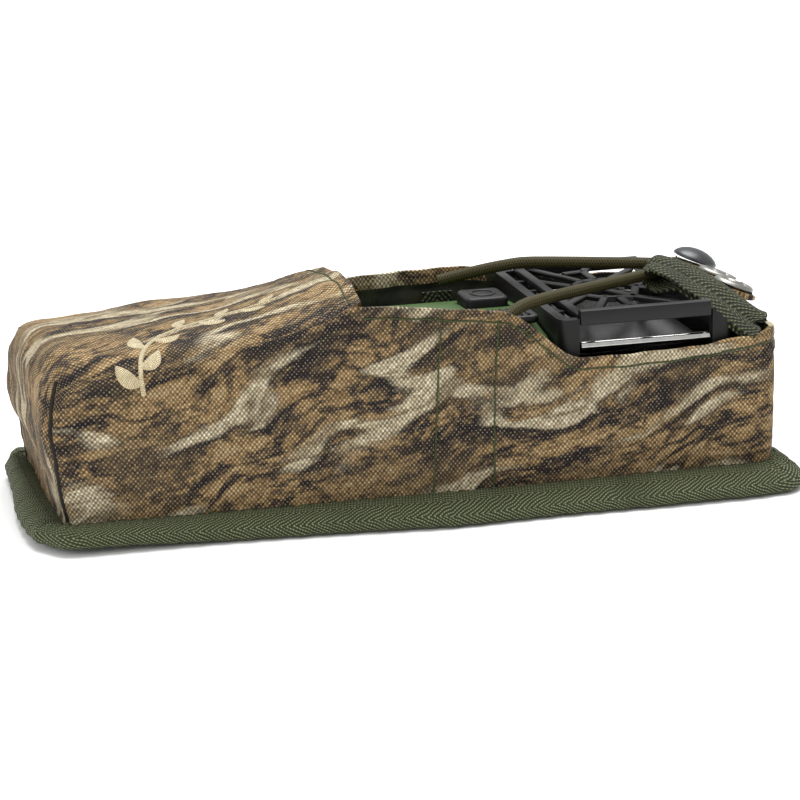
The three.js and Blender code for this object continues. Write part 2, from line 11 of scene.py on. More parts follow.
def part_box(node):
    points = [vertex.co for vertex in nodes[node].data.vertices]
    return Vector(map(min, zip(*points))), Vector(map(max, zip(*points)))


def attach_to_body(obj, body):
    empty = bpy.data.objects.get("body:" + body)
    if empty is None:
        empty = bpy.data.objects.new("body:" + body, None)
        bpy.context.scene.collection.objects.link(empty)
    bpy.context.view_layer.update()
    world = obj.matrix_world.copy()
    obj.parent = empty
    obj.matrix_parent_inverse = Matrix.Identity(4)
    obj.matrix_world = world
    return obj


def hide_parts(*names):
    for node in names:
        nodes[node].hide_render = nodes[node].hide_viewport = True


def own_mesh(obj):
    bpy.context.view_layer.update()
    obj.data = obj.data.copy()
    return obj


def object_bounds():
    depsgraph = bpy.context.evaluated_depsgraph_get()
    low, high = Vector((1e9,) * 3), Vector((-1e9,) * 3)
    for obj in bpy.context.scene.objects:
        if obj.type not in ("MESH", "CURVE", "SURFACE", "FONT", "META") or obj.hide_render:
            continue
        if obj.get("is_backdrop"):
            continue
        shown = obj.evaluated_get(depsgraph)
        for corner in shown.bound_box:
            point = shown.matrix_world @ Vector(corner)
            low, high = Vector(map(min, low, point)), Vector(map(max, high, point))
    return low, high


mm = 0.001
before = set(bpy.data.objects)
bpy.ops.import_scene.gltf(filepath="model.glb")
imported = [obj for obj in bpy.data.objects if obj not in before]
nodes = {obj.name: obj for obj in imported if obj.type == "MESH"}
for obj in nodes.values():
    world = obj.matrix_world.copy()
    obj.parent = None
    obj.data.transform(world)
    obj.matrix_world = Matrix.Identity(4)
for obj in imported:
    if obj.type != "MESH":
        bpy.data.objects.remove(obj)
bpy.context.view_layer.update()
print("frame loaded:", len(nodes), "nodes")


# Camera, placed first
cameraSizes = {
    "yaw": 14.94,
    "pitch": 15.39,
    "roll": -0.88,
    "distance": 964.8,
    "target": (1.43, -0.89, 23.16),
    "lens": 152.18,
}


def makeCamera(s):
    yaw, pitch, roll = (math.radians(s[k]) for k in ("yaw", "pitch", "roll"))
    back = Vector((-math.sin(yaw) * math.cos(pitch), -math.cos(yaw) * math.cos(pitch), math.sin(pitch)))
    side = (-back).cross(Vector((0, 0, 1))).normalized()
    up = side.cross(-back)
    right = side * math.cos(roll) + up * math.sin(roll)
    over = up * math.cos(roll) - side * math.sin(roll)
    data = bpy.data.cameras.new("camera")
    data.lens, data.sensor_width = s["lens"], 36
    data.clip_start, data.clip_end = 0.05, 20
    camera = bpy.data.objects.new("camera", data)
    turn = Matrix((right, over, back)).transposed().to_4x4()
    place = (Vector(s["target"]) + back * s["distance"]) * mm
    camera.matrix_world = Matrix.Translation(place) @ turn
    bpy.context.scene.collection.objects.link(camera)
    bpy.context.scene.camera = camera
    return camera


makeCamera(cameraSizes)
bpy.context.scene.view_settings.view_transform = "Standard"
print("camera placed")


# Shader arithmetic: a wire is one output socket, and the operators add Math nodes
class Wire:
    def __init__(self, bench, socket):
        self.bench, self.socket = bench, socket

    def maths(self, operation, *others):
        values = {i: v for i, v in enumerate((self, *others))}
        return self.bench.node("ShaderNodeMath", {"operation": operation}, values)

    def __add__(self, other):
        return self.maths("ADD", other)

    def __sub__(self, other):
        return self.maths("SUBTRACT", other)

    def __rsub__(self, other):
        return self.bench.node("ShaderNodeMath", {"operation": "SUBTRACT"}, {0: other, 1: self})

    def __mul__(self, other):
        return self.maths("MULTIPLY", other)

    def __truediv__(self, other):
        return self.maths("DIVIDE", other)

    def __pow__(self, other):
        return self.maths("POWER", other)

    __radd__ = __add__
    __rmul__ = __mul__

    def sine(self):
        return self.maths("SINE")

    def size(self):
        return self.maths("ABSOLUTE")

    def atLeast(self, other):
        return self.maths("MAXIMUM", other)

    def over(self, other):
        return self.maths("GREATER_THAN", other)

    def sawtooth(self):
        return self.maths("PINGPONG", 1.0)

    def between(self, low, high):
        settings = {"interpolation_type": "SMOOTHSTEP", "clamp": True}
        return self.bench.node(
            "ShaderNodeMapRange", settings, {"Value": self, "From Min": low, "From Max": high}
        )


# A material under construction.
class Bench:
    def __init__(self, name):
        self.material = bpy.data.materials.new(name)
        self.material.use_nodes = True
        self.tree = self.material.node_tree
        self.tree.nodes.clear()

    def node(self, kind, settings=None, sockets=None, out=0):
        made = self.tree.nodes.new(kind)
        for key, value in (settings or {}).items():
            if key == "stops":
                ramp = made.color_ramp
                while len(ramp.elements) > 1:
                    ramp.elements.remove(ramp.elements[-1])
                for i, (at, colour) in enumerate(value):
                    stop = ramp.elements[0] if i == 0 else ramp.elements.new(at)
                    stop.position, stop.color = at, (*colour[:3], 1)
            else:
                setattr(made, key, value)
        for key, value in (sockets or {}).items():
            if isinstance(value, Wire):
                self.tree.links.new(value.socket, made.inputs[key])
            else:
                made.inputs[key].default_value = value
        return Wire(self, made.outputs[out])

    def place(self, scale=(1, 1, 1), turn=(0, 0, 0), shift=(0, 0, 0), kind="Object"):
        found = self.node("ShaderNodeTexCoord", out=kind)
        return self.node(
            "ShaderNodeMapping", None,
            {"Vector": found, "Location": shift, "Rotation": turn, "Scale": scale}
        )

    def split(self, vector):
        first = self.node("ShaderNodeSeparateXYZ", None, {0: vector})
        outs = first.socket.node.outputs
        return tuple(Wire(self, outs[i]) for i in range(3))

    def join(self, x, y, z=0.0):
        return self.node("ShaderNodeCombineXYZ", None, {0: x, 1: y, 2: z})

    def cloud(self, vector, scale, detail=4.0, rough=0.55, warp=0.0, **more):
        sockets = {"Vector": vector, "Scale": scale, "Detail": detail, "Roughness": rough, "Distortion": warp}
        return self.node("ShaderNodeTexNoise", more, sockets)

    def cells(self, vector, scale, feature="F1", out="Distance", spread=1.0):
        sockets = {"Vector": vector, "Scale": scale, "Randomness": spread}
        return self.node("ShaderNodeTexVoronoi", {"feature": feature}, sockets, out)

    def ramp(self, value, *stops, ease="LINEAR"):
        made = self.node("ShaderNodeValToRGB", {"stops": stops}, {0: value})
        made.socket.node.color_ramp.interpolation = ease
        return made

    def mix(self, a, b, share, blend="MIX"):
        settings = {"data_type": "RGBA", "blend_type": blend}
        pad = [(*c, 1) if isinstance(c, tuple) and len(c) == 3 else c for c in (a, b)]
        return self.node("ShaderNodeMix", settings, {0: share, 6: pad[0], 7: pad[1]}, 2)

    def bump(self, height, depth, strength=1.0, under=None):
        sockets = {"Height": height, "Distance": depth, "Strength": strength}
        if under is not None:
            sockets["Normal"] = under
        return self.node("ShaderNodeBump", None, sockets)

    def done(self, colour, roughness, normal=None, metallic=0.0, **fixed):
        sockets = {"Base Color": (*colour, 1) if isinstance(colour, tuple) else colour}
        sockets |= {"Roughness": roughness, "Metallic": metallic}
        sockets |= {k.replace("_", " "): v for k, v in fixed.items()}
        if normal is not None:
            sockets["Normal"] = normal
        surface = self.node("ShaderNodeBsdfPrincipled", None, sockets)
        output = self.tree.nodes.new("ShaderNodeOutputMaterial")
        self.tree.links.new(surface.socket, output.inputs[0])
        return self.material


def seen(r, g, b):  # a colour as it looks on screen, 0 to 255, in linear light
    return tuple(((c / 255 + 0.055) / 1.055) ** 2.4 if c > 10 else c / 255 / 12.92 for c in (r, g, b))


# Materials; UV maps are in metres, so these scales turn them to millimetres
camoPrint = {
    "dark": seen(40, 34, 33),
    "umber": seen(68, 56, 46),
    "brown": seen(106, 89, 64),
    "gold": seen(146, 118, 80),
    "tan": seen(168, 144, 106),
    "khaki": seen(184, 170, 140),
    # pale: the limbs' palest print colour, also used as the painted highlight on the weave's crowns
    "pale": seen(222, 211, 181),
    "lean": 0.33,  # how far the bark's grain turns from the cloth's length
    "thread": (0.62, 0.74),  # spacing along and across, in mm
}


def camoCloth(s, name="camoCloth", shift=(0, 0, 0)):
    b = Bench(name)
    flat = b.place((1000, 1000, 1), shift=shift, kind="UV")
    x, y, _ = b.split(flat)
    drift = b.node("ShaderNodeTexNoise", None, {"Vector": flat, "Scale": 0.02, "Detail": 2.0}, "Color")
    bent = b.node("ShaderNodeVectorMath", {"operation": "MULTIPLY_ADD"}, {0: drift, 1: (18, 24, 0), 2: flat})

    def grain(along, across, where=(0, 0, 0), turn=s["lean"]):  # sizes in mm of one patch of the pattern
        return b.node(
            "ShaderNodeMapping", {"vector_type": "TEXTURE"},
            {"Vector": bent, "Location": where, "Rotation": (0, 0, turn), "Scale": (along, across, 1)}
        )

    # bark: long streaks broken by short plates, from near black through gold to tan
    broad = b.cloud(grain(46, 11), 1.0, 4.0, 0.6, 0.5)
    streak = b.cloud(grain(17, 4.8, (70, 30, 0)), 1.0, 4.0, 0.55, 0.7)
    fleck = b.cloud(grain(3.0, 1.3, (10, 90, 0)), 1.0, 3.0, 0.6)
    edge = b.cells(grain(8.5, 4.2, (40, 40, 0)), 1.0, "DISTANCE_TO_EDGE")
    crack = 1 - (edge + (fleck - 0.5) * 0.6).between(0.0, 0.22)
    tone = streak * 0.72 + broad * 0.6 + fleck * 0.2 - crack * 0.11
    bark = b.ramp(
        tone, (0.57, s["dark"]), (0.645, s["umber"]), (0.705, s["brown"]), (0.77, s["gold"]),
        (0.88, s["tan"])
    )
    hue = b.cloud(grain(34, 20, (90, 10, 0)), 1.0, 3.0)
    bark = b.mix(bark, s["brown"], hue.between(0.46, 0.66) * 0.5)
    # pale limbs that wander along the cloth, each with a shadow below it
    limbAt = grain(70, 21, (31, 17, 0), s["lean"] * 0.8)
    limbField = b.cloud(limbAt, 1.0, 1.8, 0.45)
    nibble = (fleck - 0.5) * 0.05 + (streak - 0.5) * 0.07
    breaks = b.cloud(grain(60, 26, (50, 50, 0)), 1.0, 1.5).between(0.45, 0.52)
    limb = (1 - ((limbField - 0.5).size() + nibble).between(0.018, 0.042)) * breaks
    below = b.node("ShaderNodeVectorMath", {"operation": "ADD"}, {0: limbAt, 1: (0.0, 0.11, 0)})
    shade = (1 - ((b.cloud(below, 1.0, 1.8, 0.45) - 0.5).size() + nibble).between(0.01, 0.05)) * breaks
    printed = b.mix(bark, s["dark"], shade * 0.7)
    limbTone = b.mix(s["khaki"], s["pale"], fleck.between(0.45, 0.65))
    limbTone = b.mix(limbTone, s["brown"], streak.between(0.48, 0.62) * 0.75)
    printed = b.mix(printed, limbTone, limb * 0.9)
    # plain weave: each thread's crown is a small bump, and the colour follows it: painted shade in the gaps
    # between threads, painted highlight on the crowns, with a random tone per thread
    crown = (x * (math.pi / s["thread"][0]) + (b.cloud(flat, 0.35, 2.0) - 0.5) * 2.6).sine()
    crown = crown * (
        y * (math.pi / s["thread"][1]) + (b.cloud(flat, 0.3, 2.0) - 0.5) * 2.4
    ).sine() * 0.5 + 0.5
    each = b.node(
        "ShaderNodeTexWhiteNoise", {"noise_dimensions": "2D"},
        {0: b.join((x / s["thread"][0]).maths("FLOOR"), (y / s["thread"][1]).maths("FLOOR"))}
    )
    value = crown * crown * 1.15 + 0.42 + (each - 0.5) * 0.34
    colour = b.mix(
        printed, b.node("ShaderNodeCombineColor", None, {0: value, 1: value, 2: value}), 1.0, "MULTIPLY"
    )
    # painted highlight: the brightest thread crowns are mixed towards the pale colour
    colour = b.mix(colour, s["pale"], crown.between(0.78, 1.0) * (each * 0.5))
    normal = b.bump(crown + (each - 0.5) * 0.3, 0.0003, 0.8)
    return b.done(colour, 0.78 + fleck * 0.12 - crown * 0.1, normal, Specular_IOR_Level=0.2)


# deep, mid and light run from painted shade in the weave's grooves to painted highlight on its ribs
webbingLook = {
    "deep": seen(34, 39, 19), "mid": seen(72, 79, 49), "light": seen(150, 156, 122), "rib": 0.95,
    "column": 4.6, "slope": 0.55
}


def herringboneWebbing(s, name, along="x"):
    b = Bench(name)
    flat = b.place((1000, 1000, 1), kind="UV")
    x, y, _ = b.split(flat)
    wander = (b.cloud(flat, 0.12, 2.0) - 0.5) * 1.6
    zigzag = (y / s["column"]).sawtooth() * s["column"]
    rib = ((x * s["slope"] + zigzag + wander) * (2 * math.pi / s["rib"])).sine() * 0.5 + 0.5
    pick = ((x - zigzag * 0.4) * (2 * math.pi / (s["rib"] * 0.9))).sine() * 0.5 + 0.5
    grain = b.cloud(flat, 1.6, 3.0, 0.7)
    height = rib * 0.7 + rib * pick * 0.5
    # painted shade and highlight: the colour follows the rib height, darker in the grooves and lighter on the
    # ribs, mixed with random fibre grain
    tone = (height + (grain - 0.5) * 0.7).between(0.0, 1.25)
    colour = b.mix(
        b.mix(s["deep"], s["mid"], tone.between(0.05, 0.6)), s["light"], tone.between(0.62, 1.0) * 0.75
    )
    fade = b.cloud(flat, 0.05, 2.0)
    colour = b.mix(colour, s["deep"], fade.between(0.5, 0.75) * 0.3)
    return b.done(colour, 0.62 + grain * 0.2, b.bump(height, 0.0003, 0.8), Specular_IOR_Level=0.3)


def coatedLining():
    b = Bench("coatedLining")
    flat = b.place((1000, 1000, 1), kind="UV")
    x, y, _ = b.split(flat)
    weave = (x * 9.0).sine() * (y * 9.0).sine()
    cloud = b.cloud(flat, 0.08, 4.0)
    colour = b.mix(seen(13, 14, 7), seen(48, 50, 30), cloud.between(0.35, 0.7))
    return b.done(
        colour, 0.42 + cloud * 0.25, b.bump(weave * 0.1 + cloud, 0.0008, 0.6), Specular_IOR_Level=0.35
    )


def braidedCord():
    b = Bench("braidedCord")
    flat = b.place((1000, 1000, 1), kind="UV")  # x along, y round
    x, y, _ = b.split(flat)
    left = ((x * 2.2 + y) * 3.6).sine()
    right = ((x * 2.2 - y) * 3.6).sine()
    rib = left.atLeast(right) * 0.5 + 0.5
    grain = b.cloud(flat, 1.2, 3.0, 0.7)
    # painted shade and highlight: the colour follows the braid's ribs, darker between the strands and lighter
    # on their crowns, mixed with random grain
    colour = b.mix(seen(19, 17, 6), seen(72, 66, 36), (rib * 0.8 + grain * 0.5).between(0.35, 1.15))
    return b.done(colour, 0.6, b.bump(rib, 0.0001, 0.7), Specular_IOR_Level=0.22)


def mouldedPlastic(name, deep, light, rough, grain=2600, depth=0.00004):
    b = Bench(name)
    at = b.place()
    pebble = b.cloud(at, grain, 3.0, 0.6)
    cloud = b.cloud(at, 45, 3.0)
    scuff = b.cloud(b.place((1, 6, 1)), 160, 4.0, 0.7).between(0.62, 0.78)
    colour = b.mix(deep, light, cloud.between(0.3, 0.75) * 0.5 + scuff * 0.25)
    return b.done(
        colour, (cloud - 0.5) * 0.14 + pebble * 0.12 + scuff * 0.08 + (rough - 0.06),
        b.bump(pebble, depth, 0.5), Specular_IOR_Level=0.35
    )


def shieldSteel(s):
    b = Bench("polishedSteel")
    at = b.place((1000, 1000, 1000))
    _, y, z = b.split(at)
    # painted shade and reflection: the plate's middle, under the grille, is coloured near black, and towards
    # the rolled edges it takes the steel colour in noise-broken patches of painted reflection; the streak
    # noise bands that steel colour as painted reflection too
    patchNoise = b.cloud(at, 0.09, 3.0)
    bright = (y.size() + (patchNoise - 0.5) * 9).between(s["from"], s["to"])
    streaks = b.cloud(b.place((300, 30, 30)), 1.0, 3.0)
    colour = b.mix(s["darkMiddle"], s["steel"], bright * (streaks * 0.5 + 0.6))
    return b.done(
        colour, 0.2 - bright * 0.1, b.bump(streaks, 0.00001, 0.1), bright * 0.6 + 0.4,
        Specular_IOR_Level=0.3
    )


def platedMetal(name, tone, rough, brushed=0.0):
    b = Bench(name)
    at = b.place()
    smear = b.cloud(at, 90, 4.0)
    lines = b.cloud(b.place((1, 30, 1)), 300, 3.0, 0.7)
    colour = b.mix(tone, tuple(c * 0.72 for c in tone), smear.between(0.42, 0.8))
    return b.done(
        colour, smear * 0.16 + lines * brushed + rough,
        b.bump(lines * brushed + smear * 0.2, 0.00006, 0.4), 1.0
    )


def sewingThread(name, deep, light):
    b = Bench(name)
    at = b.place()
    twist = b.cloud(at, 1800, 3.0, 0.7)
    return b.done(b.mix(deep, light, twist), 0.6, b.bump(twist, 0.00012, 0.6), Specular_IOR_Level=0.25)


def satinThread():
    b = Bench("satinThread")  # embroidery: x along the stitches' row, y along each stitch
    flat = b.place((1000, 1000, 1), kind="UV")
    x, y, _ = b.split(flat)
    wander = (b.cloud(flat, 0.6, 2.0) - 0.5) * 0.8
    strand = ((x + wander) * 15.0).sine() * 0.5 + 0.5
    grain = b.cloud(flat, 2.0, 2.0)
    # painted shade and highlight: the colour follows each strand, darker between strands and lighter on their
    # crowns, mixed with random grain
    colour = b.mix(seen(176, 156, 112), seen(236, 222, 182), (strand * 0.7 + grain * 0.5).between(0.2, 1.0))
    return b.done(colour, 0.45, b.bump(strand, 0.0003, 0.9), Sheen_Weight=0.3, Sheen_Roughness=0.3)


looks = {
    "camo": camoCloth(camoPrint),
    "camoStrap": camoCloth(camoPrint, "camoStrap", (37, 11, 0)),
    "binding": herringboneWebbing(webbingLook, "herringboneBinding"),
    "tape": herringboneWebbing(
        webbingLook | {
            "deep": seen(13, 15, 7), "mid": seen(50, 55, 31), "light": seen(112, 117, 82), "rib": 1.5,
            "column": 4.75, "slope": 0.8
        },
        "pullTape",
    ),
    "lining": coatedLining(),
    "cord": braidedCord(),
    "green": mouldedPlastic("greenShell", seen(62, 88, 46), seen(84, 112, 64), 0.42),
    "black": mouldedPlastic("blackPlastic", seen(7, 7, 7), seen(23, 23, 22), 0.42),
    # the shield's near-black middle is painted shade, its steel colour the painted reflection patches towards
    # the rolled edges
    "steel": shieldSteel(
        {"from": 24.0, "to": 30.0, "darkMiddle": (0.02, 0.02, 0.019), "steel": (0.6, 0.6, 0.58)}
    ),
    "gunmetal": platedMetal("gunmetal", (0.085, 0.088, 0.09), 0.26, 0.1),
    "nickel": platedMetal("nickelPlate", (0.33, 0.325, 0.3), 0.24, 0.08),
    "brass": platedMetal("machinedBrass", (0.62, 0.45, 0.2), 0.22, 0.12),
    "aluminium": platedMetal("drawnAluminium", (0.62, 0.63, 0.64), 0.28, 0.12),
    "rubber": mouldedPlastic("sealRubber", seen(24, 24, 24), seen(40, 40, 40), 0.75),
    "greenThread": sewingThread("greenThread", seen(36, 45, 23), seen(76, 86, 52)),
    "darkThread": sewingThread("darkThread", seen(28, 31, 18), seen(60, 64, 42)),
    # near-black corner seam thread, deepened with painted shade of the corner crease
    "seamShade": sewingThread("seamShade", seen(15, 12, 10), seen(34, 28, 22)),
    "embroidery": satinThread(),
}
print("materials made:", len(looks))


# Mesh helpers
def pieceFrom(name, mesh, *materials):
    piece = bpy.data.objects.new(name, mesh)
    bpy.context.scene.collection.objects.link(piece)
    for material in materials:
        mesh.materials.append(material)
    return piece


# A grid of points, rows by columns, as a mesh in metres; uv gives each grid corner's place on the flat
# cloth in mm.
def gridMesh(name, points, uv=None, closeRows=False, closeColumns=False, caps=False):
    rows, columns = len(points), len(points[0])
    mesh = bpy.data.meshes.new(name)
    flat = [tuple(c * mm for c in p) for row in points for p in row]
    faces, corners = [], []
    for i in range(rows if closeRows else rows - 1):
        for j in range(columns if closeColumns else columns - 1):
            a, b = i, (i + 1) % rows
            c, d = j, (j + 1) % columns
            faces.append((a * columns + c, b * columns + c, b * columns + d, a * columns + d))
            corners += [(i, j), (i + 1, j), (i + 1, j + 1), (i, j + 1)]
    if caps:
        for row, flip in ((0, False), (rows - 1, True)):
            ring = [row * columns + j for j in range(columns)]
            faces.append(tuple(ring[::-1] if flip else ring))
            corners += [(row, j) for j in (range(columns - 1, -1, -1) if flip else range(columns))]
    mesh.from_pydata(flat, [], faces)
    if uv is not None:
        layer = mesh.uv_layers.new(name="cloth")
        layer.data.foreach_set(
            "uv", np.array([[c * mm for c in uv(i, j)] for i, j in corners], np.float32).ravel()
        )
    mesh.update()
    return mesh


def outward(mesh):
    work = bmesh.new()
    work.from_mesh(mesh)
    bmesh.ops.recalc_face_normals(work, faces=work.faces)
    work.to_mesh(mesh)
    work.free()
    return mesh


def smooth(piece, angle=40):
    piece.data.shade_smooth()
    if angle < 180:
        bpy.context.view_layer.objects.active = piece
        edges = bmesh.new()
        edges.from_mesh(piece.data)
        for e in edges.edges:
            e.smooth = e.is_boundary or e.calc_face_angle(0) < math.radians(angle)
        edges.to_mesh(piece.data)
        edges.free()
    return piece


# What a finished piece rides on, and the CAD nodes it stands for, which are hidden.
def attach(piece, body, slot, *stoodFor):
    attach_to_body(piece, body)
    if stoodFor:
        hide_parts(*stoodFor)
    return piece


# Runs a piece's modifiers and leaves a plain mesh.
def settle(piece):
    bpy.context.view_layer.update()
    made = bpy.data.meshes.new_from_object(piece.evaluated_get(bpy.context.evaluated_depsgraph_get()))
    piece.modifiers.clear()
    piece.data = made
    return piece


def curvePoints(points, count, closed=False):
    pts = [Vector(p) for p in points]
    n = len(pts)
    at = lambda i: pts[i % n] if closed else pts[max(0, min(n - 1, i))]
    dense = []
    for i in range(n if closed else n - 1):
        p0, p1, p2, p3 = at(i - 1), at(i), at(i + 1), at(i + 2)
        for k in range(16):
            t = k / 16
            dense.append(
                0.5
                * (
                    2 * p1 + (p2 - p0) * t + (2 * p0 - 5 * p1 + 4 * p2 - p3) * t * t
                    + (3 * p1 - p0 - 3 * p2 + p3) * t**3
                )
            )
    dense.append(pts[0].copy() if closed else pts[-1].copy())
    lengths = [0.0]
    for a, b in zip(dense, dense[1:]):
        lengths.append(lengths[-1] + (b - a).length)
    arr = np.array(dense)
    want = np.linspace(0, lengths[-1], count + (1 if closed else 0))
    out = np.stack([np.interp(want, lengths, arr[:, k]) for k in range(3)], 1)
    return [Vector(p) for p in (out[:-1] if closed else out)], lengths[-1]


def hills(x, y=0.0, z=0.0, octaves=3):
    return noise.fractal(Vector((x, y, z)), 1.0, 2.0, octaves)


def step(low, high, x):
    t = min(1.0, max(0.0, (x - low) / (high - low)))
    return t * t * (3 - 2 * t)


def follow(table, x):
    return float(np.interp(x, [p[0] for p in table], [p[1] for p in table]))


# The pouch: one soft shell of camouflage cloth, lined inside
pouch = {
    "foot": -102.3,
    "head": 102.3,
    "half": 36.0,
    "base": 5.6,
    "hem": -20.4,
    "apex": 3.4,  # how far the hem's middle reaches past its ends
    "crown": 3.4,
    "cloth": 1.5,
    "grid": 1.35,
    "nearTop": [
        (-103, 46.0), (-85, 49.4), (-60, 52.4), (-38, 55.4), (-27, 58.2), (-20.4, 60.6), (0, 58.6),
        (18, 56.4), (23, 55.6), (27, 53.4), (34, 47.4), (40, 42.2), (43, 41.1), (56, 40.7), (80, 41.4),
        (95, 43.2), (103, 45.0)
    ],
    "farTop": [
        (-103, 45.2), (-85, 47.2), (-60, 49.0), (-36, 50.4), (-20.4, 51.6), (-6, 51.0), (12, 51.8),
        (31, 52.0), (40, 50.4), (50, 48.2), (62, 47.2), (88, 46.2), (103, 45.2)
    ],
    "fold": [(-103, 8.5), (-70, 7.5), (-40, 5.0), (-26, 2.6), (-20.4, 1.2)],
}
# x at the rim and at the base of the two stitched lines on the near wall
seamLines = ((3.8, 0.8), (20.0, 18.0))


def nearTop(x):
    return follow(pouch["nearTop"], x)


def farTop(x):
    return follow(pouch["farTop"], x)


def panelTop(x, y):
    v = (y + pouch["half"]) / (2 * pouch["half"])
    lift = pouch["crown"] * (1 + 0.75 * step(-55, -20, x)) * 4 * v * (1 - v)
    return nearTop(x) * (1 - v) + farTop(x) * v + lift


def roundCorner(a, b, r):  # a and b are depths inside two faces; both faces run onto one arc of radius r
    if a >= r or b >= r or r <= 0:
        return a, b
    p, q = r - a, r - b
    length = math.hypot(p, q)
    return r - p * r / length, r - q * r / length


def softPoint(x, y, z):
    s = pouch
    half = s["half"]
    covered = x <= s["hem"] + 0.01
    top = panelTop(min(x, s["hem"]), y) if covered else 999
    inFoot, side, down = x - s["foot"], half - abs(y), max(0.0, top - z)
    high = (1 - step(5, 18, down)) if covered else 0.0
    fold = follow(s["fold"], x)
    radii = (
        2.6 + (6.4 - 2.8 * step(-20, 30, y)) * high, 2.6 * (1 - high) + fold * high,
        fold + (9 - fold) * (1 - step(3, 16, inFoot)) if covered else 1.0
    )
    shares = [max(0.0, 1 - d / r) for d, r in zip((inFoot, side, down), radii)]
    if not covered:
        shares[2] = 0.0
    length = math.sqrt(sum(v * v for v in shares))
    if sum(v > 0 for v in shares) > 1 and length > 0:
        near = [r * (1 - v / length) if v > 0 else d for v, r, d in zip(shares, radii, (inFoot, side, down))]
        inFoot, side, down = near
        z = top - down if covered else z
    x = s["foot"] + inFoot
    inHead, side = roundCorner(s["head"] - x, side, 4.0)
    x = s["head"] - inHead
    y = math.copysign(half - side, y) if y else 0.0
    nearFoot = 1 - step(s["foot"], -78, x)
    x -= nearFoot * (4.2 * step(8, 30, z) - 0.4)
    x += step(80, s["head"], x) * 0.8 * math.sin(math.pi * min(1, z / 45))
    bow = 2.4 * step(-95, -30, x) * (1 - step(45, 98, x)) * (1 - 0.75 * step(10, 46, z))
    y += math.copysign(bow, y) * step(20, 34, abs(y))
    return x, y, z


def clothRelief(x, y, z, rimGap, nearWall):
    d = 0.95 * hills(x / 42, y / 40 + 5, z / 30, 2) + 0.42 * hills(x / 15 + 9, y / 15, z / 10, 3)
    d += 0.5 * hills(x / 26 + 0.6 * z / 10, z / 7 + 3, y / 30) * (1 - step(-95, -45, x))
    d += 0.3 * math.sin(x * 1.15 + 2.5 * hills(x / 18, z / 9)) * math.exp(-max(0, z - 6) / 5)
    d -= 0.5 * math.exp(-(((z - 7.0) / 2.2) ** 2))
    if rimGap is not None:
        d += 0.45 * (1 - step(6.6, 7.8, rimGap)) - 0.4 * math.exp(-(((rimGap - 3.1) / 0.8) ** 2))
        d += 0.35 * math.sin(x * 0.5 + y * 0.4) * (1 - step(2, 12, rimGap))
    if nearWall:
        for upper, lower in seamLines:
            line = lower + (upper - lower) * (z - 6) / 50
            d -= 0.75 * math.exp(-(((x - line) / 1.0) ** 2))
            d += 0.5 * math.exp(-(((x - line) / 4.5) ** 2)) * (1 + 0.5 * math.sin(z * 0.7))
    corner = math.hypot(x - pouch["foot"] + 2.4, abs(y) - pouch["half"])
    d -= 1.1 * math.exp(-((corner / 1.5) ** 2)) * (1 - step(38, 50, z)) * (1 if abs(y) > 30 else 0)
    return d


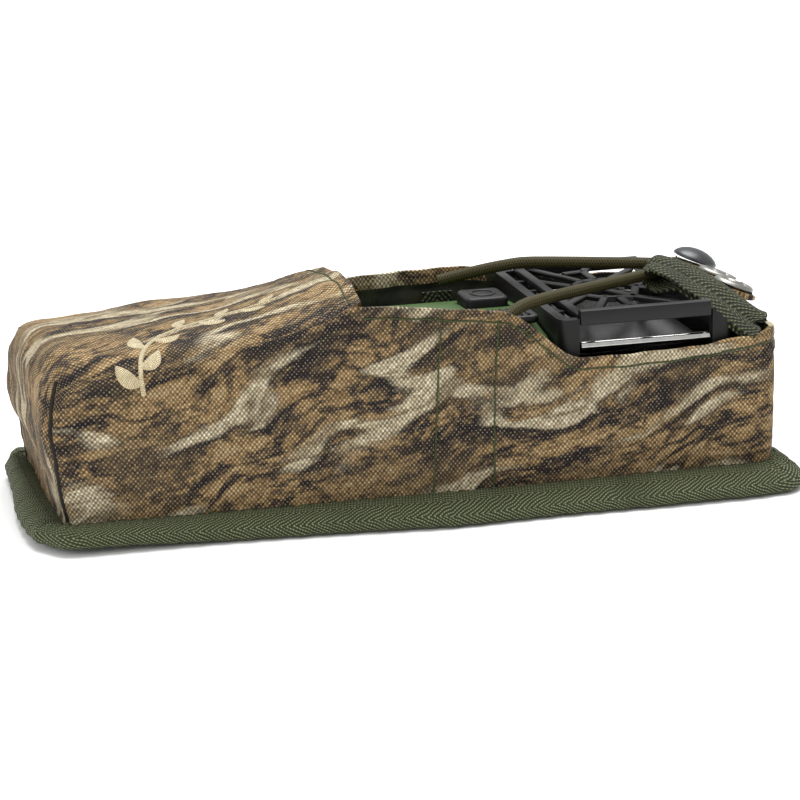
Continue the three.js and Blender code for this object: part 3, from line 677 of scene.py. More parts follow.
def makePouch():
    s = pouch
    half, base, grid = s["half"], s["base"], s["grid"]
    stop = s["hem"]
    footXs = list(np.linspace(s["foot"], stop, round((stop - s["foot"]) / grid)))
    allXs = footXs + list(np.linspace(stop, s["head"], round((s["head"] - stop) / grid)))[1:]
    up = np.linspace(0, 1, round(50 / grid))
    ys = np.linspace(-half, half, round(2 * half / grid))
    seenAt, points, facts, faces, cloth = {}, [], [], [], []

    def vertex(x, y, z, rimGap, hemShift=0.0):
        key = (round(x, 3), round(float(y), 3), round(z, 3))
        if key not in seenAt:
            seenAt[key] = len(points)
            px, py, pz = softPoint(x, float(y), z)
            points.append([px + hemShift, py, pz])
            facts.append((px + hemShift, py, pz, rimGap, y < -half + 0.01))
        return seenAt[key]

    def patch(rows, uv):
        for i in range(len(rows) - 1):
            for j in range(len(rows[0]) - 1):
                ring = [(i, j), (i + 1, j), (i + 1, j + 1), (i, j + 1)]
                faces.append(tuple(rows[a][b] for a, b in ring))
                cloth.extend(uv(a, b) for a, b in ring)

    for sign, rim in ((-1, nearTop), (1, farTop)):
        rows = []
        for x in allXs:
            top = rim(x)
            rows.append(
                [
                    vertex(
                        x, sign * half, base + (top - base) * v,
                        (top - base) * (1 - v) if x >= stop - 0.01 else None
                    )
                    for v in up
                ]
            )
        height = lambda i, j, rim=rim: (rim(allXs[i]) - base) * up[j]
        patch(
            rows,
            (lambda i, j: (allXs[i], height(i, j))) if sign < 0 else (
                lambda i, j: (allXs[i], 176 - height(i, j))
            )
        )
    rows = []
    for x in footXs:
        reach = step(-50, stop, x)
        row = []
        for y in ys:
            bulge = s["apex"] * reach * max(
                0.0, math.cos((y + 10) / (half + 10 if y < -10 else half + 14) * math.pi / 2)
            )
            bulge *= 1 if abs(y) < half - 0.1 else 0
            row.append(vertex(x, y, panelTop(x, y), stop - x, bulge))
        rows.append(row)
    patch(rows, lambda i, j: (footXs[i], 54 + ys[j] + half))
    rows = [[vertex(s["foot"], y, base + (panelTop(s["foot"], y) - base) * v, None) for v in up] for y in ys]
    patch(rows, lambda i, j: (s["foot"] - (1 - up[j]) * 42, 54 + ys[i] + half))
    rimHead = lambda y: nearTop(s["head"]) + (
        farTop(s["head"]) - nearTop(s["head"])
    ) * (y + half) / (2 * half)
    rows = [
        [vertex(s["head"], y, base + (rimHead(y) - base) * v, (rimHead(y) - base) * (1 - v)) for v in up]
        for y in ys
    ]
    patch(rows, lambda i, j: (s["head"] + ys[i] + half, up[j] * 39))

    mesh = bpy.data.meshes.new("pouchShell")
    mesh.from_pydata([[c * mm for c in p] for p in points], [], faces)
    layer = mesh.uv_layers.new(name="cloth")
    layer.data.foreach_set("uv", np.array(cloth, np.float32).ravel() * mm)
    outward(mesh)
    normals = [v.normal.copy() for v in mesh.vertices]
    middle = Vector((0, 0, 25 * mm))
    for v, n, fact in zip(mesh.vertices, normals, facts):
        v.co += n * clothRelief(*fact) * mm
    if sum((v.co - middle).dot(n) > 0 for v, n in zip(mesh.vertices, normals)) < len(normals) / 2:
        mesh.flip_normals()
    piece = pieceFrom("pouchShell", mesh, looks["camo"], looks["lining"])
    wall = piece.modifiers.new("cloth", "SOLIDIFY")
    wall.thickness, wall.offset, wall.use_even_offset = s["cloth"] * mm, -1, False
    wall.material_offset = 1
    settle(piece)
    for face in piece.data.polygons:  # the hem is turned in, so a strip inside each rim is camouflage too
        if face.material_index == 1:
            x, y, z = (c / mm for c in face.center)
            rim = nearTop(x) if y < 0 else farTop(x)
            if stop < x < 38 and rim - z < 3.4 and abs(y) > 32:
                face.material_index = 0
    return smooth(piece, 55)


pouchShell = makePouch()
attach(
    pouchShell, "holster", "camo_cloth", "near_wall", "far_wall", "foot_wall", "head_wall", "front_panel",
    "near_lining", "far_lining"
)
print("pouch made:", len(pouchShell.data.polygons), "faces")


surfaces = {}


def surfaceOf(piece):
    if piece.name not in surfaces:
        surfaces[piece.name] = BVHTree.FromPolygons(
            [v.co for v in piece.data.vertices], [f.vertices for f in piece.data.polygons]
        )
    return surfaces[piece.name]


def layOn(piece, points, toward, lift=0.1):  # each point is dropped on the piece along a direction, in mm
    tree, down = surfaceOf(piece), Vector(toward).normalized()
    out = []
    for p in points:
        start = Vector(p) * mm - down * 30 * mm
        hit, normal, _, _ = tree.ray_cast(start, down)
        if hit is not None:
            out.append((hit - down * lift * mm) / mm)
    return out


# Stitches: one Geometry Nodes tree that sets a small thread loop along any line
def stitchTree():
    tree = bpy.data.node_groups.new("stitchRun", "GeometryNodeTree")
    face = tree.interface
    face.new_socket("Line", in_out="INPUT", socket_type="NodeSocketGeometry")
    for name in ("Pitch", "Length", "Thread"):
        face.new_socket(name, in_out="INPUT", socket_type="NodeSocketFloat")
    face.new_socket("Material", in_out="INPUT", socket_type="NodeSocketMaterial")
    face.new_socket("Stitches", in_out="OUTPUT", socket_type="NodeSocketGeometry")
    add, link = tree.nodes.new, tree.links.new
    given, out = add("NodeGroupInput"), add("NodeGroupOutput")
    toCurve, spread = add("GeometryNodeMeshToCurve"), add("GeometryNodeCurveToPoints")
    spread.mode = "LENGTH"
    link(given.outputs["Line"], toCurve.inputs[0])
    link(toCurve.outputs[0], spread.inputs["Curve"])
    link(given.outputs["Pitch"], spread.inputs["Length"])
    loop = add("GeometryNodeMeshUVSphere")
    loop.inputs["Segments"].default_value, loop.inputs["Rings"].default_value = 6, 5
    loop.inputs["Radius"].default_value = 1
    grow, size = add("GeometryNodeTransform"), add("ShaderNodeCombineXYZ")
    for axis, name in (("X", "Thread"), ("Y", "Thread"), ("Z", "Length")):
        link(given.outputs[name], size.inputs[axis])
    link(loop.outputs[0], grow.inputs["Geometry"])
    link(size.outputs[0], grow.inputs["Scale"])
    smoothed, each = add("GeometryNodeSetShadeSmooth"), add("GeometryNodeInstanceOnPoints")
    link(grow.outputs[0], smoothed.inputs[0])
    link(spread.outputs["Points"], each.inputs["Points"])
    link(smoothed.outputs[0], each.inputs["Instance"])
    link(spread.outputs["Rotation"], each.inputs["Rotation"])
    real, paint = add("GeometryNodeRealizeInstances"), add("GeometryNodeSetMaterial")
    link(each.outputs[0], real.inputs[0])
    link(real.outputs[0], paint.inputs["Geometry"])
    link(given.outputs["Material"], paint.inputs["Material"])
    link(paint.outputs[0], out.inputs[0])
    return tree


stitches = stitchTree()
stitchSizes = {"pitch": 3.0, "length": 1.2, "thread": 0.3}  # length and thread are half sizes


def alongLines(name, lines, tree, values):  # runs a tree along drawn lines, in mm, and keeps its mesh
    mesh = bpy.data.meshes.new(name)
    at, edges = [], []
    for line in lines:
        edges += [(len(at) + i, len(at) + i + 1) for i in range(len(line) - 1)]
        at += [tuple(c * mm for c in p) for p in line]
    mesh.from_pydata(at, edges, [])
    piece = pieceFrom(name, mesh)
    run = piece.modifiers.new(tree.name, "NODES")
    run.node_group = tree
    for item in tree.interface.items_tree:
        if item.in_out == "INPUT" and item.name in values:
            run[item.identifier] = values[item.name]
    settle(piece)
    return piece


def sew(name, lines, body, slot, look, **sizes):
    s = stitchSizes | sizes
    values = {label: s[label.lower()] * mm for label in ("Pitch", "Length", "Thread")}
    piece = alongLines(name, lines, stitches, values | {"Material": looks[look]})
    attach(piece, body, slot)
    return piece


def rimLine(rim, y, start, end, drop):
    return [(x, y, rim(x) - drop) for x in np.arange(start, end, 1.5)]


wallLines = [layOn(pouchShell, rimLine(nearTop, -36, -17, 100, 3.1), (0, 1, 0))]
wallLines += [
    layOn(
        pouchShell,
        [(lo + (hi - lo) * t, -36, 6.5 + t * (nearTop(hi) - 10.0)) for t in np.linspace(0, 1, 40)],
        (0, 1, 0)
    )
    for hi, lo in seamLines
]
hemArc = [
    (
        pouch["hem"] - 3.1 + pouch["apex"] * math.cos((y + 10) / (46 if y < -10 else 50) * math.pi / 2),
        y, 60
    )
    for y in np.arange(-33, 33, 1.5)
]
wallLines.append(layOn(pouchShell, hemArc, (0, 0, -1)))
wallLines.append(layOn(pouchShell, rimLine(farTop, 36, -17, 100, 3.1), (0, -1, 0)))
sew("pouchStitches", wallLines, "holster", "olive_webbing", "greenThread", pitch=2.5, thread=0.3, length=1.5)
print("pouch sewn")


# Embroidery: a leaf sprig in satin stitch, climbing over the near fold and along the panel
sprig = {
    "stem": [
        (-79, -45.5), (-79.5, -40), (-78, -34), (-73, -27), (-65, -21.5), (-55, -17), (-45, -13.5),
        (-36, -12)
    ],
    "stemWide": 0.75,
    "leaves": [
        (0.05, 1, 8.5, 2.3), (0.12, -1, 7.5, 2.1), (0.24, 1, 8.0, 2.2), (0.33, -1, 7.0, 1.9),
        (0.5, 1, 8.0, 1.9), (0.6, -1, 7.5, 1.8), (0.72, 1, 7.5, 1.7), (0.82, -1, 7.0, 1.6),
        (0.93, 1, 6.5, 1.5),
    ],
    "rise": 0.55,
    "hub": 25.0,  # the height that the motif's rays point at
}


def onPouch(x, v, lift):  # x along the pouch, v across it and down over the fold, in mm
    angle = v / 36 * 0.92
    way = Vector((0, math.sin(angle), math.cos(angle)))
    start = Vector((x, 0, sprig["hub"])) + way * 70
    hit, normal, _, _ = surfaceOf(pouchShell).ray_cast(start * mm, -way)
    return (hit + normal * lift * mm) / mm


def satinPatch(path, halfWidth):
    middles, length = curvePoints(
        [(x, v, 0) for x, v in path], max(6, round(math.dist(path[0], path[-1]) / 0.7))
    )
    rows = []
    for i, m in enumerate(middles):
        ahead = (middles[min(i + 1, len(middles) - 1)] - middles[max(i - 1, 0)]).normalized()
        wide = halfWidth(i / (len(middles) - 1))
        top = [
            onPouch(
                m.x - ahead.y * wide * k, m.y + ahead.x * wide * k,
                -0.15 + sprig["rise"] * (1 - k * k) ** 0.5
            )
            for k in (-1, -0.8, -0.45, 0, 0.45, 0.8, 1)
        ]
        low = [onPouch(m.x - ahead.y * wide * k, m.y + ahead.x * wide * k, -0.3) for k in (0.6, 0, -0.6)]
        rows.append(top + low)
    spots = (-1, -0.8, -0.45, 0, 0.45, 0.8, 1, 0.6, 0, -0.6, -1)
    stride = length / (len(middles) - 1)
    return gridMesh(
        "satin", rows, lambda i, j: (i * stride, halfWidth(min(1, i / (len(middles) - 1))) * spots[j]),
        False, True, True
    )


def makeSprig():
    s = sprig
    line, _ = curvePoints([(x, v, 0) for x, v in s["stem"]], 200)
    parts = [satinPatch(s["stem"], lambda t: s["stemWide"] * (1 - 0.5 * t))]
    for at, side, long, wide in s["leaves"]:
        i = min(198, int(at * 199))
        root, ahead = line[i], (line[i + 1] - line[max(0, i - 1)]).normalized()
        out = Vector((-ahead.y, ahead.x, 0)) * side
        tip = root + ahead * long * 0.72 + out * long * 0.68
        bend = root + ahead * long * 0.22 + out * long * 0.42
        parts.append(
            satinPatch(
                [(root.x, root.y), (bend.x, bend.y), (tip.x, tip.y)], lambda t,
                w=wide: max(0.12, w * math.sin(math.pi * min(1, t * 0.94 + 0.03)) ** 0.8)
            )
        )
    whole = bmesh.new()
    for part in parts:
        outward(part)
        whole.from_mesh(part)
    mesh = parts[0]
    whole.to_mesh(mesh)
    whole.free()
    return smooth(pieceFrom("leafSprig", mesh, looks["embroidery"]), 60)


attach(makeSprig(), "holster", "camo_cloth")
print("sprig embroidered")


# Herringbone binding round the padded back
binding = {
    "length": 103.1,
    "half": 36.0,
    "corner": 5.3,
    "step": 1.1,
    "profile": [
        (-3.2, 5.2), (-0.8, 5.7), (1.6, 6.3), (3.8, 6.2), (6.0, 5.8), (8.2, 4.9), (9.8, 3.6), (10.6, 2.3),
        (10.5, 1.2), (9.5, 0.45), (7.4, 0.3), (4.0, 0.35), (0.6, 0.4), (-3.2, 0.6)
    ],
}


def bindingPath():
    s = binding
    a, b, r = s["length"] - s["corner"], s["half"] - s["corner"], s["corner"]
    path, travelled, previous = [], 0.0, None
    for cx, cy, turn in ((a, -b, -90), (a, b, 0), (-a, b, 90), (-a, -b, 180)):
        for k in range(22):
            angle = math.radians(turn + 90 * k / 21)
            path.append(
                (
                    cx + r * math.cos(angle), cy + r * math.sin(angle), math.cos(angle), math.sin(angle),
                    1.0
                )
            )
        nx, ny = {-90: (a, b), 0: (-a, b), 90: (-a, -b), 180: (a, -b)}[turn]
        out = math.radians(turn + 90)
        x0, y0 = cx + r * math.cos(out), cy + r * math.sin(out)
        x1, y1 = nx + r * math.cos(out), ny + r * math.sin(out)
        count = int(math.hypot(x1 - x0, y1 - y0) / s["step"])
        for k in range(1, count):
            t = k / count
            path.append((x0 + (x1 - x0) * t, y0 + (y1 - y0) * t, math.cos(out), math.sin(out), 0.0))
    rows = []
    for x, y, nx, ny, corner in path:
        here = (x + nx * 5, y + ny * 5)
        if previous:
            travelled += math.dist(here, previous)
        previous = here
        rows.append((x, y, nx, ny, corner, travelled))
    return rows


def makeBinding():
    rows, lengths = [], [0.0]
    profile = binding["profile"]
    for p, q in zip(profile, profile[1:]):
        lengths.append(lengths[-1] + math.dist(p, q))
    path = bindingPath()
    for x, y, nx, ny, corner, s in path:
        kink = math.exp(-(((x - 4) / 15) ** 2)) * (1 if ny < -0.9 else 0)
        near = step(0.2, 0.9, -ny)
        wide = 0.7 * hills(s / 34, 1.5) + 1.2 * kink + near * 5.2 * step(-70, 0, x) * (
            1 - 0.5 * step(88, 108, x)
        )
        narrow = step(0.2, 0.9, -nx) * (1.9 + 4.4 * step(-25, 40, y)) + step(0.2, 0.9, nx) * 4.7
        curl = 1.6 * (1 - step(-100, -45, x))
        rise = 0.55 * hills(s / 26, 7.5) + 0.3 * hills(s / 6, 2.5)
        row = []
        for out, z in profile:
            share = max(0.0, min(1.0, out / 10))
            pucker = corner * 0.42 * math.sin(s * 2.3 + 1.2 * hills(s / 5)) * math.sin(
                math.pi * min(1, max(0, (out + 1) / 10.5))
            )
            ripple = 0.16 * math.sin(s * 1.5 + 3 * hills(s / 14)) * (1 if z > 3 else 0.4)
            lift = max(0.3, z + curl * share + (rise * share + pucker + ripple) * (1 if z > 1 else 0.25))
            reach = out + (wide - narrow) * share + 0.25 * math.sin(s * 0.9 + 2 * hills(s / 9)) * share
            row.append((x + nx * reach, y + ny * reach, lift))
        rows.append(row)
    total = path[-1][5] + binding["step"]
    mesh = gridMesh(
        "bindingTape", rows, lambda i,
        j: (path[i][5] if i < len(path) else total, lengths[j] if j < len(lengths) else lengths[-1] + 5),
        True, True
    )
    piece = pieceFrom("bindingTape", outward(mesh), looks["binding"])
    return smooth(piece, 180)


bindingTape = makeBinding()
attach(bindingTape, "holster", "olive_webbing", "edge_binding")
seamPath = [(x + nx * 1.7, y + ny * 1.7, 8) for x, y, nx, ny, _, _ in bindingPath()]
sew(
    "bindingStitches", [layOn(bindingTape, seamPath + seamPath[:1], (0, 0, -1), 0.05)], "holster",
    "olive_webbing", "darkThread", pitch=3.1, thread=0.26
)
lowPath = [(x + nx * 3.4, y + ny * 3.4, 0) for x, y, nx, ny, _, _ in bindingPath()]
sew(
    "bindingStitchesBelow", [layOn(bindingTape, lowPath + lowPath[:1], (0, 0, 1), 0.0)], "holster",
    "olive_webbing", "darkThread", pitch=3.1, thread=0.2
)
print("binding made")


# Padded back, swelled by a short cloth simulation, and its belt loop
paddedBack = {
    "length": 202.6, "width": 68.4, "low": 2.5, "high": 7.0, "voxel": 2.6, "pressure": 3.0, "most": 0.9
}


def roundedBox(name, low, high, radius, segments=3):
    work = bmesh.new()
    bmesh.ops.create_cube(work, size=1)
    size, middle = [h - l for l, h in zip(low, high)], [(h + l) / 2 for l, h in zip(low, high)]
    for v in work.verts:
        v.co = Vector([(c * s + m) * mm for c, s, m in zip(v.co, size, middle)])
    if radius:
        bmesh.ops.bevel(
            work, geom=list(work.edges), offset=radius * mm, segments=segments, profile=0.5,
            affect="EDGES"
        )
    mesh = bpy.data.meshes.new(name)
    work.to_mesh(mesh)
    work.free()
    return mesh


def makePaddedBack():
    s = paddedBack
    mesh = roundedBox(
        "backPad", (-s["length"] / 2, -s["width"] / 2, s["low"]),
        (s["length"] / 2, s["width"] / 2, s["high"]), 1.6, 3
    )
    piece = pieceFrom("backPad", mesh, looks["camo"])
    cut = piece.modifiers.new("even", "REMESH")
    cut.mode, cut.voxel_size = "VOXEL", s["voxel"] * mm
    settle(piece)
    start = np.array([v.co for v in piece.data.vertices])
    cloth = piece.modifiers.new("swell", "CLOTH")
    cloth.settings.use_pressure = True
    cloth.settings.uniform_pressure_force = s["pressure"]
    cloth.settings.effector_weights.gravity = 0
    cloth.settings.quality = 4
    for f in range(1, 15):
        bpy.context.scene.frame_set(f)
    settle(piece)
    bpy.context.scene.frame_set(1)
    now = np.array([v.co for v in piece.data.vertices])
    move = now - start
    far = np.maximum(np.linalg.norm(move, axis=1, keepdims=True), 1e-9)
    now = start + move * np.minimum(1, s["most"] * mm / far)
    for v, p in zip(piece.data.vertices, now):
        x, y, z = p / mm
        quilt = 0.55 * math.exp(
            -(((abs(y) - 24.0) / 1.1) ** 2)
        ) + 0.4 * math.exp(-(((abs(x) - 70) / 1.1) ** 2))
        z += quilt if z < 4.5 else -quilt
        v.co = Vector((x, y, max(z, 1.8 if abs(x) < 67 and abs(y) < 21 else 0.9))) * mm
    layer = piece.data.uv_layers.new(name="cloth")
    for loop in piece.data.loops:
        co = piece.data.vertices[loop.vertex_index].co
        layer.data[loop.index].uv = (co.x, co.y + co.z)
    piece.data.materials.clear()
    piece.data.materials.append(looks["camo"])
    return smooth(piece, 180)


backPad = makePaddedBack()
attach(backPad, "holster", "camo_cloth", "padded_back")
print("padded back made")


# A flat strap: a line of middles, a half-width vector at each, and a thickness along the strap's own normal.
def strapMesh(name, middles, halves, thickness, across=9, edge=0.5, relief=None):
    lengths = [0.0]
    for a, b in zip(middles, middles[1:]):
        lengths.append(lengths[-1] + (Vector(b) - Vector(a)).length)
    rows = []
    for i, (m, h) in enumerate(zip(middles, halves)):
        m, h = Vector(m), Vector(h)
        ahead = (Vector(middles[min(i + 1, len(middles) - 1)]) - Vector(middles[max(i - 1, 0)])).normalized()
        up = ahead.cross(h).normalized()
        top, low = [], []
        for k in range(across):
            v = -1 + 2 * k / (across - 1)
            thin = thickness / 2 * (1 - edge * abs(v) ** 6)
            wave, along = relief(lengths[i], v) if relief else (0.0, 0.0)
            top.append(m + h * v + up * (thin + wave) + ahead * along)
            low.append(m + h * v + up * (wave - thin) + ahead * along)
        rows.append(top + low[::-1])
    half = [Vector(h).length for h in halves]
    place = lambda i, j: (
        lengths[min(i, len(lengths) - 1)],
        half[min(i, len(half) - 1)] * (
            (-1 + 2 * j / (across - 1)) if j < across
            else (1 - 2 * (j - across) / (across - 1) if j < 2 * across else -1)
        ),
    )
    return outward(gridMesh(name, rows, place, False, True, True))


beltLoop = {"length": 130.0, "width": 38.0, "low": 0.0, "thick": 1.45}
loopXs = np.linspace(-beltLoop["length"] / 2, beltLoop["length"] / 2, 90)
loopMesh = strapMesh(
    "beltLoop",
    [(x, 0, beltLoop["low"] + beltLoop["thick"] / 2 + 0.02) for x in loopXs],
    [(0, beltLoop["width"] / 2, 0)] * len(loopXs),
    beltLoop["thick"],
    across=15,
)
beltPiece = smooth(pieceFrom("beltLoopTape", loopMesh, looks["binding"]), 50)
attach(beltPiece, "holster", "olive_webbing", "belt_loop")
barTacks = [[(x, y, 0.2) for y in np.linspace(-17, 17, 30)] for x in (-62, -60, 60, 62)]
sew("beltTacks", barTacks, "holster", "olive_webbing", "darkThread", pitch=1.5, length=0.9, thread=0.22)


# The turned seams down the two corners of the foot; their near-black colour is the seam thread deepened with
# painted shade of the corner crease
footSeam = {"low": 5.6, "top": 45.0, "radius": 0.6, "lean": 4.5}


def makeFootSeam(side, name):
    s = footSeam
    rise = [k / 60 for k in range(61)]
    corner = [
        (pouch["foot"], side * (pouch["half"] - s["lean"] * t), s["low"] + (s["top"] - s["low"]) * t)
        for t in rise
    ]
    middles = [Vector(p) for p in layOn(pouchShell, corner, (1, -side, 0), 0.0)]
    mesh, _ = tubeMesh(name, middles, s["radius"], 8, 0.3)
    return attach(smooth(pieceFrom(name, mesh, looks["seamShade"]), 70), "holster", "camo_cloth")


# Bungee cord: the route's points are the CAD's
bungee = {
    "radius": 1.7,
    "route": [
        (22, -30.9, 50.4), (25, -29.6, 52.6), (29, -27.6, 54.4), (34, -25.2, 55.2), (46, -19.3, 55.4),
        (58, -13.4, 55.4), (70, -7.5, 55.4), (76, -4.6, 55.4),
        (79.6, -2.8, 55.4), (82.2, -0.4, 55.4), (83, 2.7, 55.4), (81.8, 6, 55.4), (79, 8.2, 55.4),
        (75, 9.9, 55.4), (66, 13.5, 55.4), (56, 17.5, 55.4),
        (46, 21.5, 55.2), (40, 24, 54.2), (34, 27, 52.6), (28, 29.4, 50.9), (22, 30.9, 49.4),
    ],
}


def tubeMesh(name, middles, radius, sides=16, bead=0.0):
    rows, lengths = [], [0.0]
    for a, b in zip(middles, middles[1:]):
        lengths.append(lengths[-1] + (b - a).length)
    side = None
    for i, m in enumerate(middles):
        ahead = (middles[min(i + 1, len(middles) - 1)] - middles[max(i - 1, 0)]).normalized()
        side = ahead.cross(Vector((0, 0, 1))).normalized() if side is None else (
            side - ahead * side.dot(ahead)
        ).normalized()
        up = side.cross(ahead)
        r = radius * (1 + bead * hills(lengths[i] / 3, 4))
        rows.append(
            [
                m + (
                    side * math.cos(2 * math.pi * k / sides) + up * math.sin(2 * math.pi * k / sides)
                ) * r
                for k in range(sides)
            ]
        )
    around = 2 * math.pi * radius / sides
    mesh = gridMesh(
        name, rows, lambda i, j: (lengths[min(i, len(lengths) - 1)], j * around), False, True, True
    )
    return outward(mesh), lengths[-1]


makeFootSeam(-1, "footSeam_near")
makeFootSeam(1, "footSeam_far")

cordMiddles, cordLength = curvePoints(bungee["route"], 170)
cordMesh, cordLength = tubeMesh("bungeeLoop", cordMiddles, bungee["radius"], 16, 0.012)
bungeeLoop = smooth(pieceFrom("bungeeLoop", cordMesh, looks["cord"]), 70)
attach(bungeeLoop, "retention_loop", "olive_cord", "bungee_cord")

# The anchors: webbing stitched inside the walls, wrapped round each end of the cord.
for side, name in ((-1, "near"), (1, "far")):
    low, high = (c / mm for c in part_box(f"bungee_anchor_{name}"))
    y = (low.y + high.y) / 2
    heights = np.linspace(low.z, high.z, 14)
    mesh = strapMesh(
        f"anchor_{name}", [((low.x + high.x) / 2, y, z) for z in heights],
        [((high.x - low.x) / 2, 0, 0)] * 14, 1.1, 9
    )
    piece = smooth(pieceFrom(f"anchorTape_{name}", mesh, looks["tape"]), 50)
    attach(piece, "holster", "olive_webbing", f"bungee_anchor_{name}")

# Pull tab: webbing folded over the bight, its two layers sewn together down to the cut end
pullTab = {
    "middle": [
        (77.4, -5.2, 58.2), (80.6, -9.4, 57.4), (84.0, -14.4, 55.4), (88.4, -20.4, 52.6),
        (93.2, -25.9, 48.4), (97.4, -29.4, 45.2), (100.2, -31.2, 44.2)
    ],
    "half": [
        (3.7, 6.4, 0.6), (4.3, 7.2, 0.6), (4.7, 7.8, 0.9), (4.6, 7.5, 1.2), (4.4, 7.0, 1.5),
        (4.2, 6.5, 1.7), (4.1, 6.3, 1.8)
    ],
    "layer": 1.25,
}


def makePullTab():
    s = pullTab
    upper, _ = curvePoints(s["middle"], 44)
    halves = []
    for i in range(44):
        t = i / 43 * (len(s["half"]) - 1)
        k = min(int(t), len(s["half"]) - 2)
        halves.append(Vector(s["half"][k]).lerp(Vector(s["half"][k + 1]), t - k))
    down = Vector((0.25, -0.3, -1)).normalized()
    # over the cord, round it and back underneath
    cord = Vector((77.8, -3.8, 55.4))
    wrap = []
    back = Vector((-0.72, 0.69, 0))
    for k in range(1, 12):
        angle = math.pi * k / 12
        wrap.append(cord + back * math.sin(angle) * 3.2 + Vector((0, 0, 1)) * math.cos(angle) * 2.75)
    under = []
    for i in range(44):
        t = i / 43
        apart = 1.35 + 4.3 * (1 - step(0.0, 0.3, t))
        under.append(upper[i] - Vector((0, 0, apart)))
    line = upper[::-1] + wrap + under[:41]
    wide = halves[::-1] + [halves[0] * 0.96] * len(wrap) + halves[:41]
    whole = sum((q - p).length for p, q in zip(line, line[1:]))

    def wave(s, v):  # a crease down the middle, and both cut ends notched
        sign = 1 if s < whole / 2 else -1
        endward = max(0.0, 1 - min(s, whole - s) / 7) ** 1.5
        crease = 0.45 * abs(math.sin(v * math.pi)) - 0.75 * math.exp(-(((v + 0.05) / 0.13) ** 2))
        notch = 3.6 * math.exp(-(((v + 0.05) / 0.28) ** 2)) + 2.2 * max(0, abs(v) - 0.5)
        return crease * sign * -1 * (
            0.6 if sign < 0 else 1
        ) + 0.15 * hills(s / 6, v * 3), sign * notch * endward
    mesh = strapMesh("pullTab", line, wide, s["layer"], 19, 0.45, wave)
    piece = pieceFrom("pullTabTape", mesh, looks["tape"])
    return smooth(piece, 60), upper, halves


pullTape, tabLine, tabHalves = makePullTab()
attach(pullTape, "retention_loop", "olive_webbing", "pull_tab")
cordLength * mm
tackLines = [
    [tabLine[i] + tabHalves[i] * v + Vector((0, 0, 0.75)) for v in np.linspace(-0.85, 0.85, 14)]
    for i in (9, 11)
]
tackLines += [
    [tabLine[i] + tabHalves[i] * side + Vector((0, 0, 0.72)) for i in range(11, 42)]
    for side in (-0.8, 0.8)
]
sew(
    "pullTabStitches", tackLines, "retention_loop", "olive_webbing", "darkThread", pitch=2.2, length=0.8,
    thread=0.22
)
print("bungee and pull tab made:", round(cordLength, 1), "mm of cord")

# Closure strap and its press studs
strapSizes = {"middle": (100.9, 46.9), "near": -9.0, "far": 31.6, "half": 6.9, "thick": 1.9, "tilt": 0.38}


def onStrap(a, y, up):  # across, along and above the strap
    c, s = math.cos(strapSizes["tilt"]), math.sin(strapSizes["tilt"])
    return Vector(
        (strapSizes["middle"][0] + a * c + up * s, y, strapSizes["middle"][1] + 0.5 - a * s + up * c)
    )


strapYs = np.linspace(strapSizes["near"], strapSizes["far"], 46)
strapRound = [math.sqrt(max(0.02, 1 - max(0, (strapSizes["near"] + 5 - y) / 5.2) ** 2)) for y in strapYs]
strapMiddles = [onStrap(0, y, strapSizes["thick"] / 2 + 0.25 * math.sin(y / 7)) for y in strapYs]
strapHalves = [
    (onStrap(1, y, 0) - onStrap(0, y, 0)) * strapSizes["half"] * r for y, r in zip(strapYs, strapRound)
]
strapPiece = pieceFrom(
    "closureTape", strapMesh("closureTape", strapMiddles, strapHalves, strapSizes["thick"], 15, 0.5),
    looks["camoStrap"]
)
smooth(strapPiece, 60)
attach(strapPiece, "closure_strap", "camo_cloth", "closure_strap")
edgeLines = [
    [
        m + Vector(h) * side + (onStrap(0, 0, 1) - onStrap(0, 0, 0)) * 1.0 for m,
        h in list(zip(strapMiddles, strapHalves))[6:]
    ]
    for side in (-0.82, 0.82)
]
sew(
    "closureStitches", edgeLines, "closure_strap", "olive_webbing", "greenThread", pitch=2.4, length=0.9,
    thread=0.22
)

studs = {
    "snap_cap": {
        "y": 26.8, "shift": (-1.8, 0.7), "look": "gunmetal", "slot": "gunmetal",
        "profile": [
            (0, 3.5), (1.6, 3.42), (3.2, 3.1), (4.7, 2.5), (5.9, 1.7), (6.5, 1.05), (6.75, 0.55),
            (6.6, 0.12), (6.2, 0), (5.2, 0.05), (0, 0.05)
        ]
    },
    "snap_socket_1": {
        "y": 11.0, "shift": (0, 0), "look": "nickel", "slot": "nickel",
        "profile": [
            (0, 1.5), (0.6, 1.6), (1.5, 1.75), (2.2, 1.6), (2.5, 1.0), (2.9, 0.75), (3.7, 0.75),
            (4.0, 1.2), (4.5, 1.5), (5.4, 1.4), (5.9, 0.9), (6.0, 0.4), (5.7, 0), (0, 0)
        ]
    },
    "snap_socket_2": {
        "y": -2.4, "shift": (0, 0), "look": "nickel", "slot": "nickel",
        "profile": [
            (0, 0.7), (1.6, 0.7), (1.9, 1.5), (2.4, 1.9), (2.8, 1.6), (3.0, 0.9), (3.9, 0.8), (4.3, 1.3),
            (5.0, 1.5), (5.7, 1.1), (6.0, 0.4), (5.7, 0), (0, 0)
        ]
    },
}
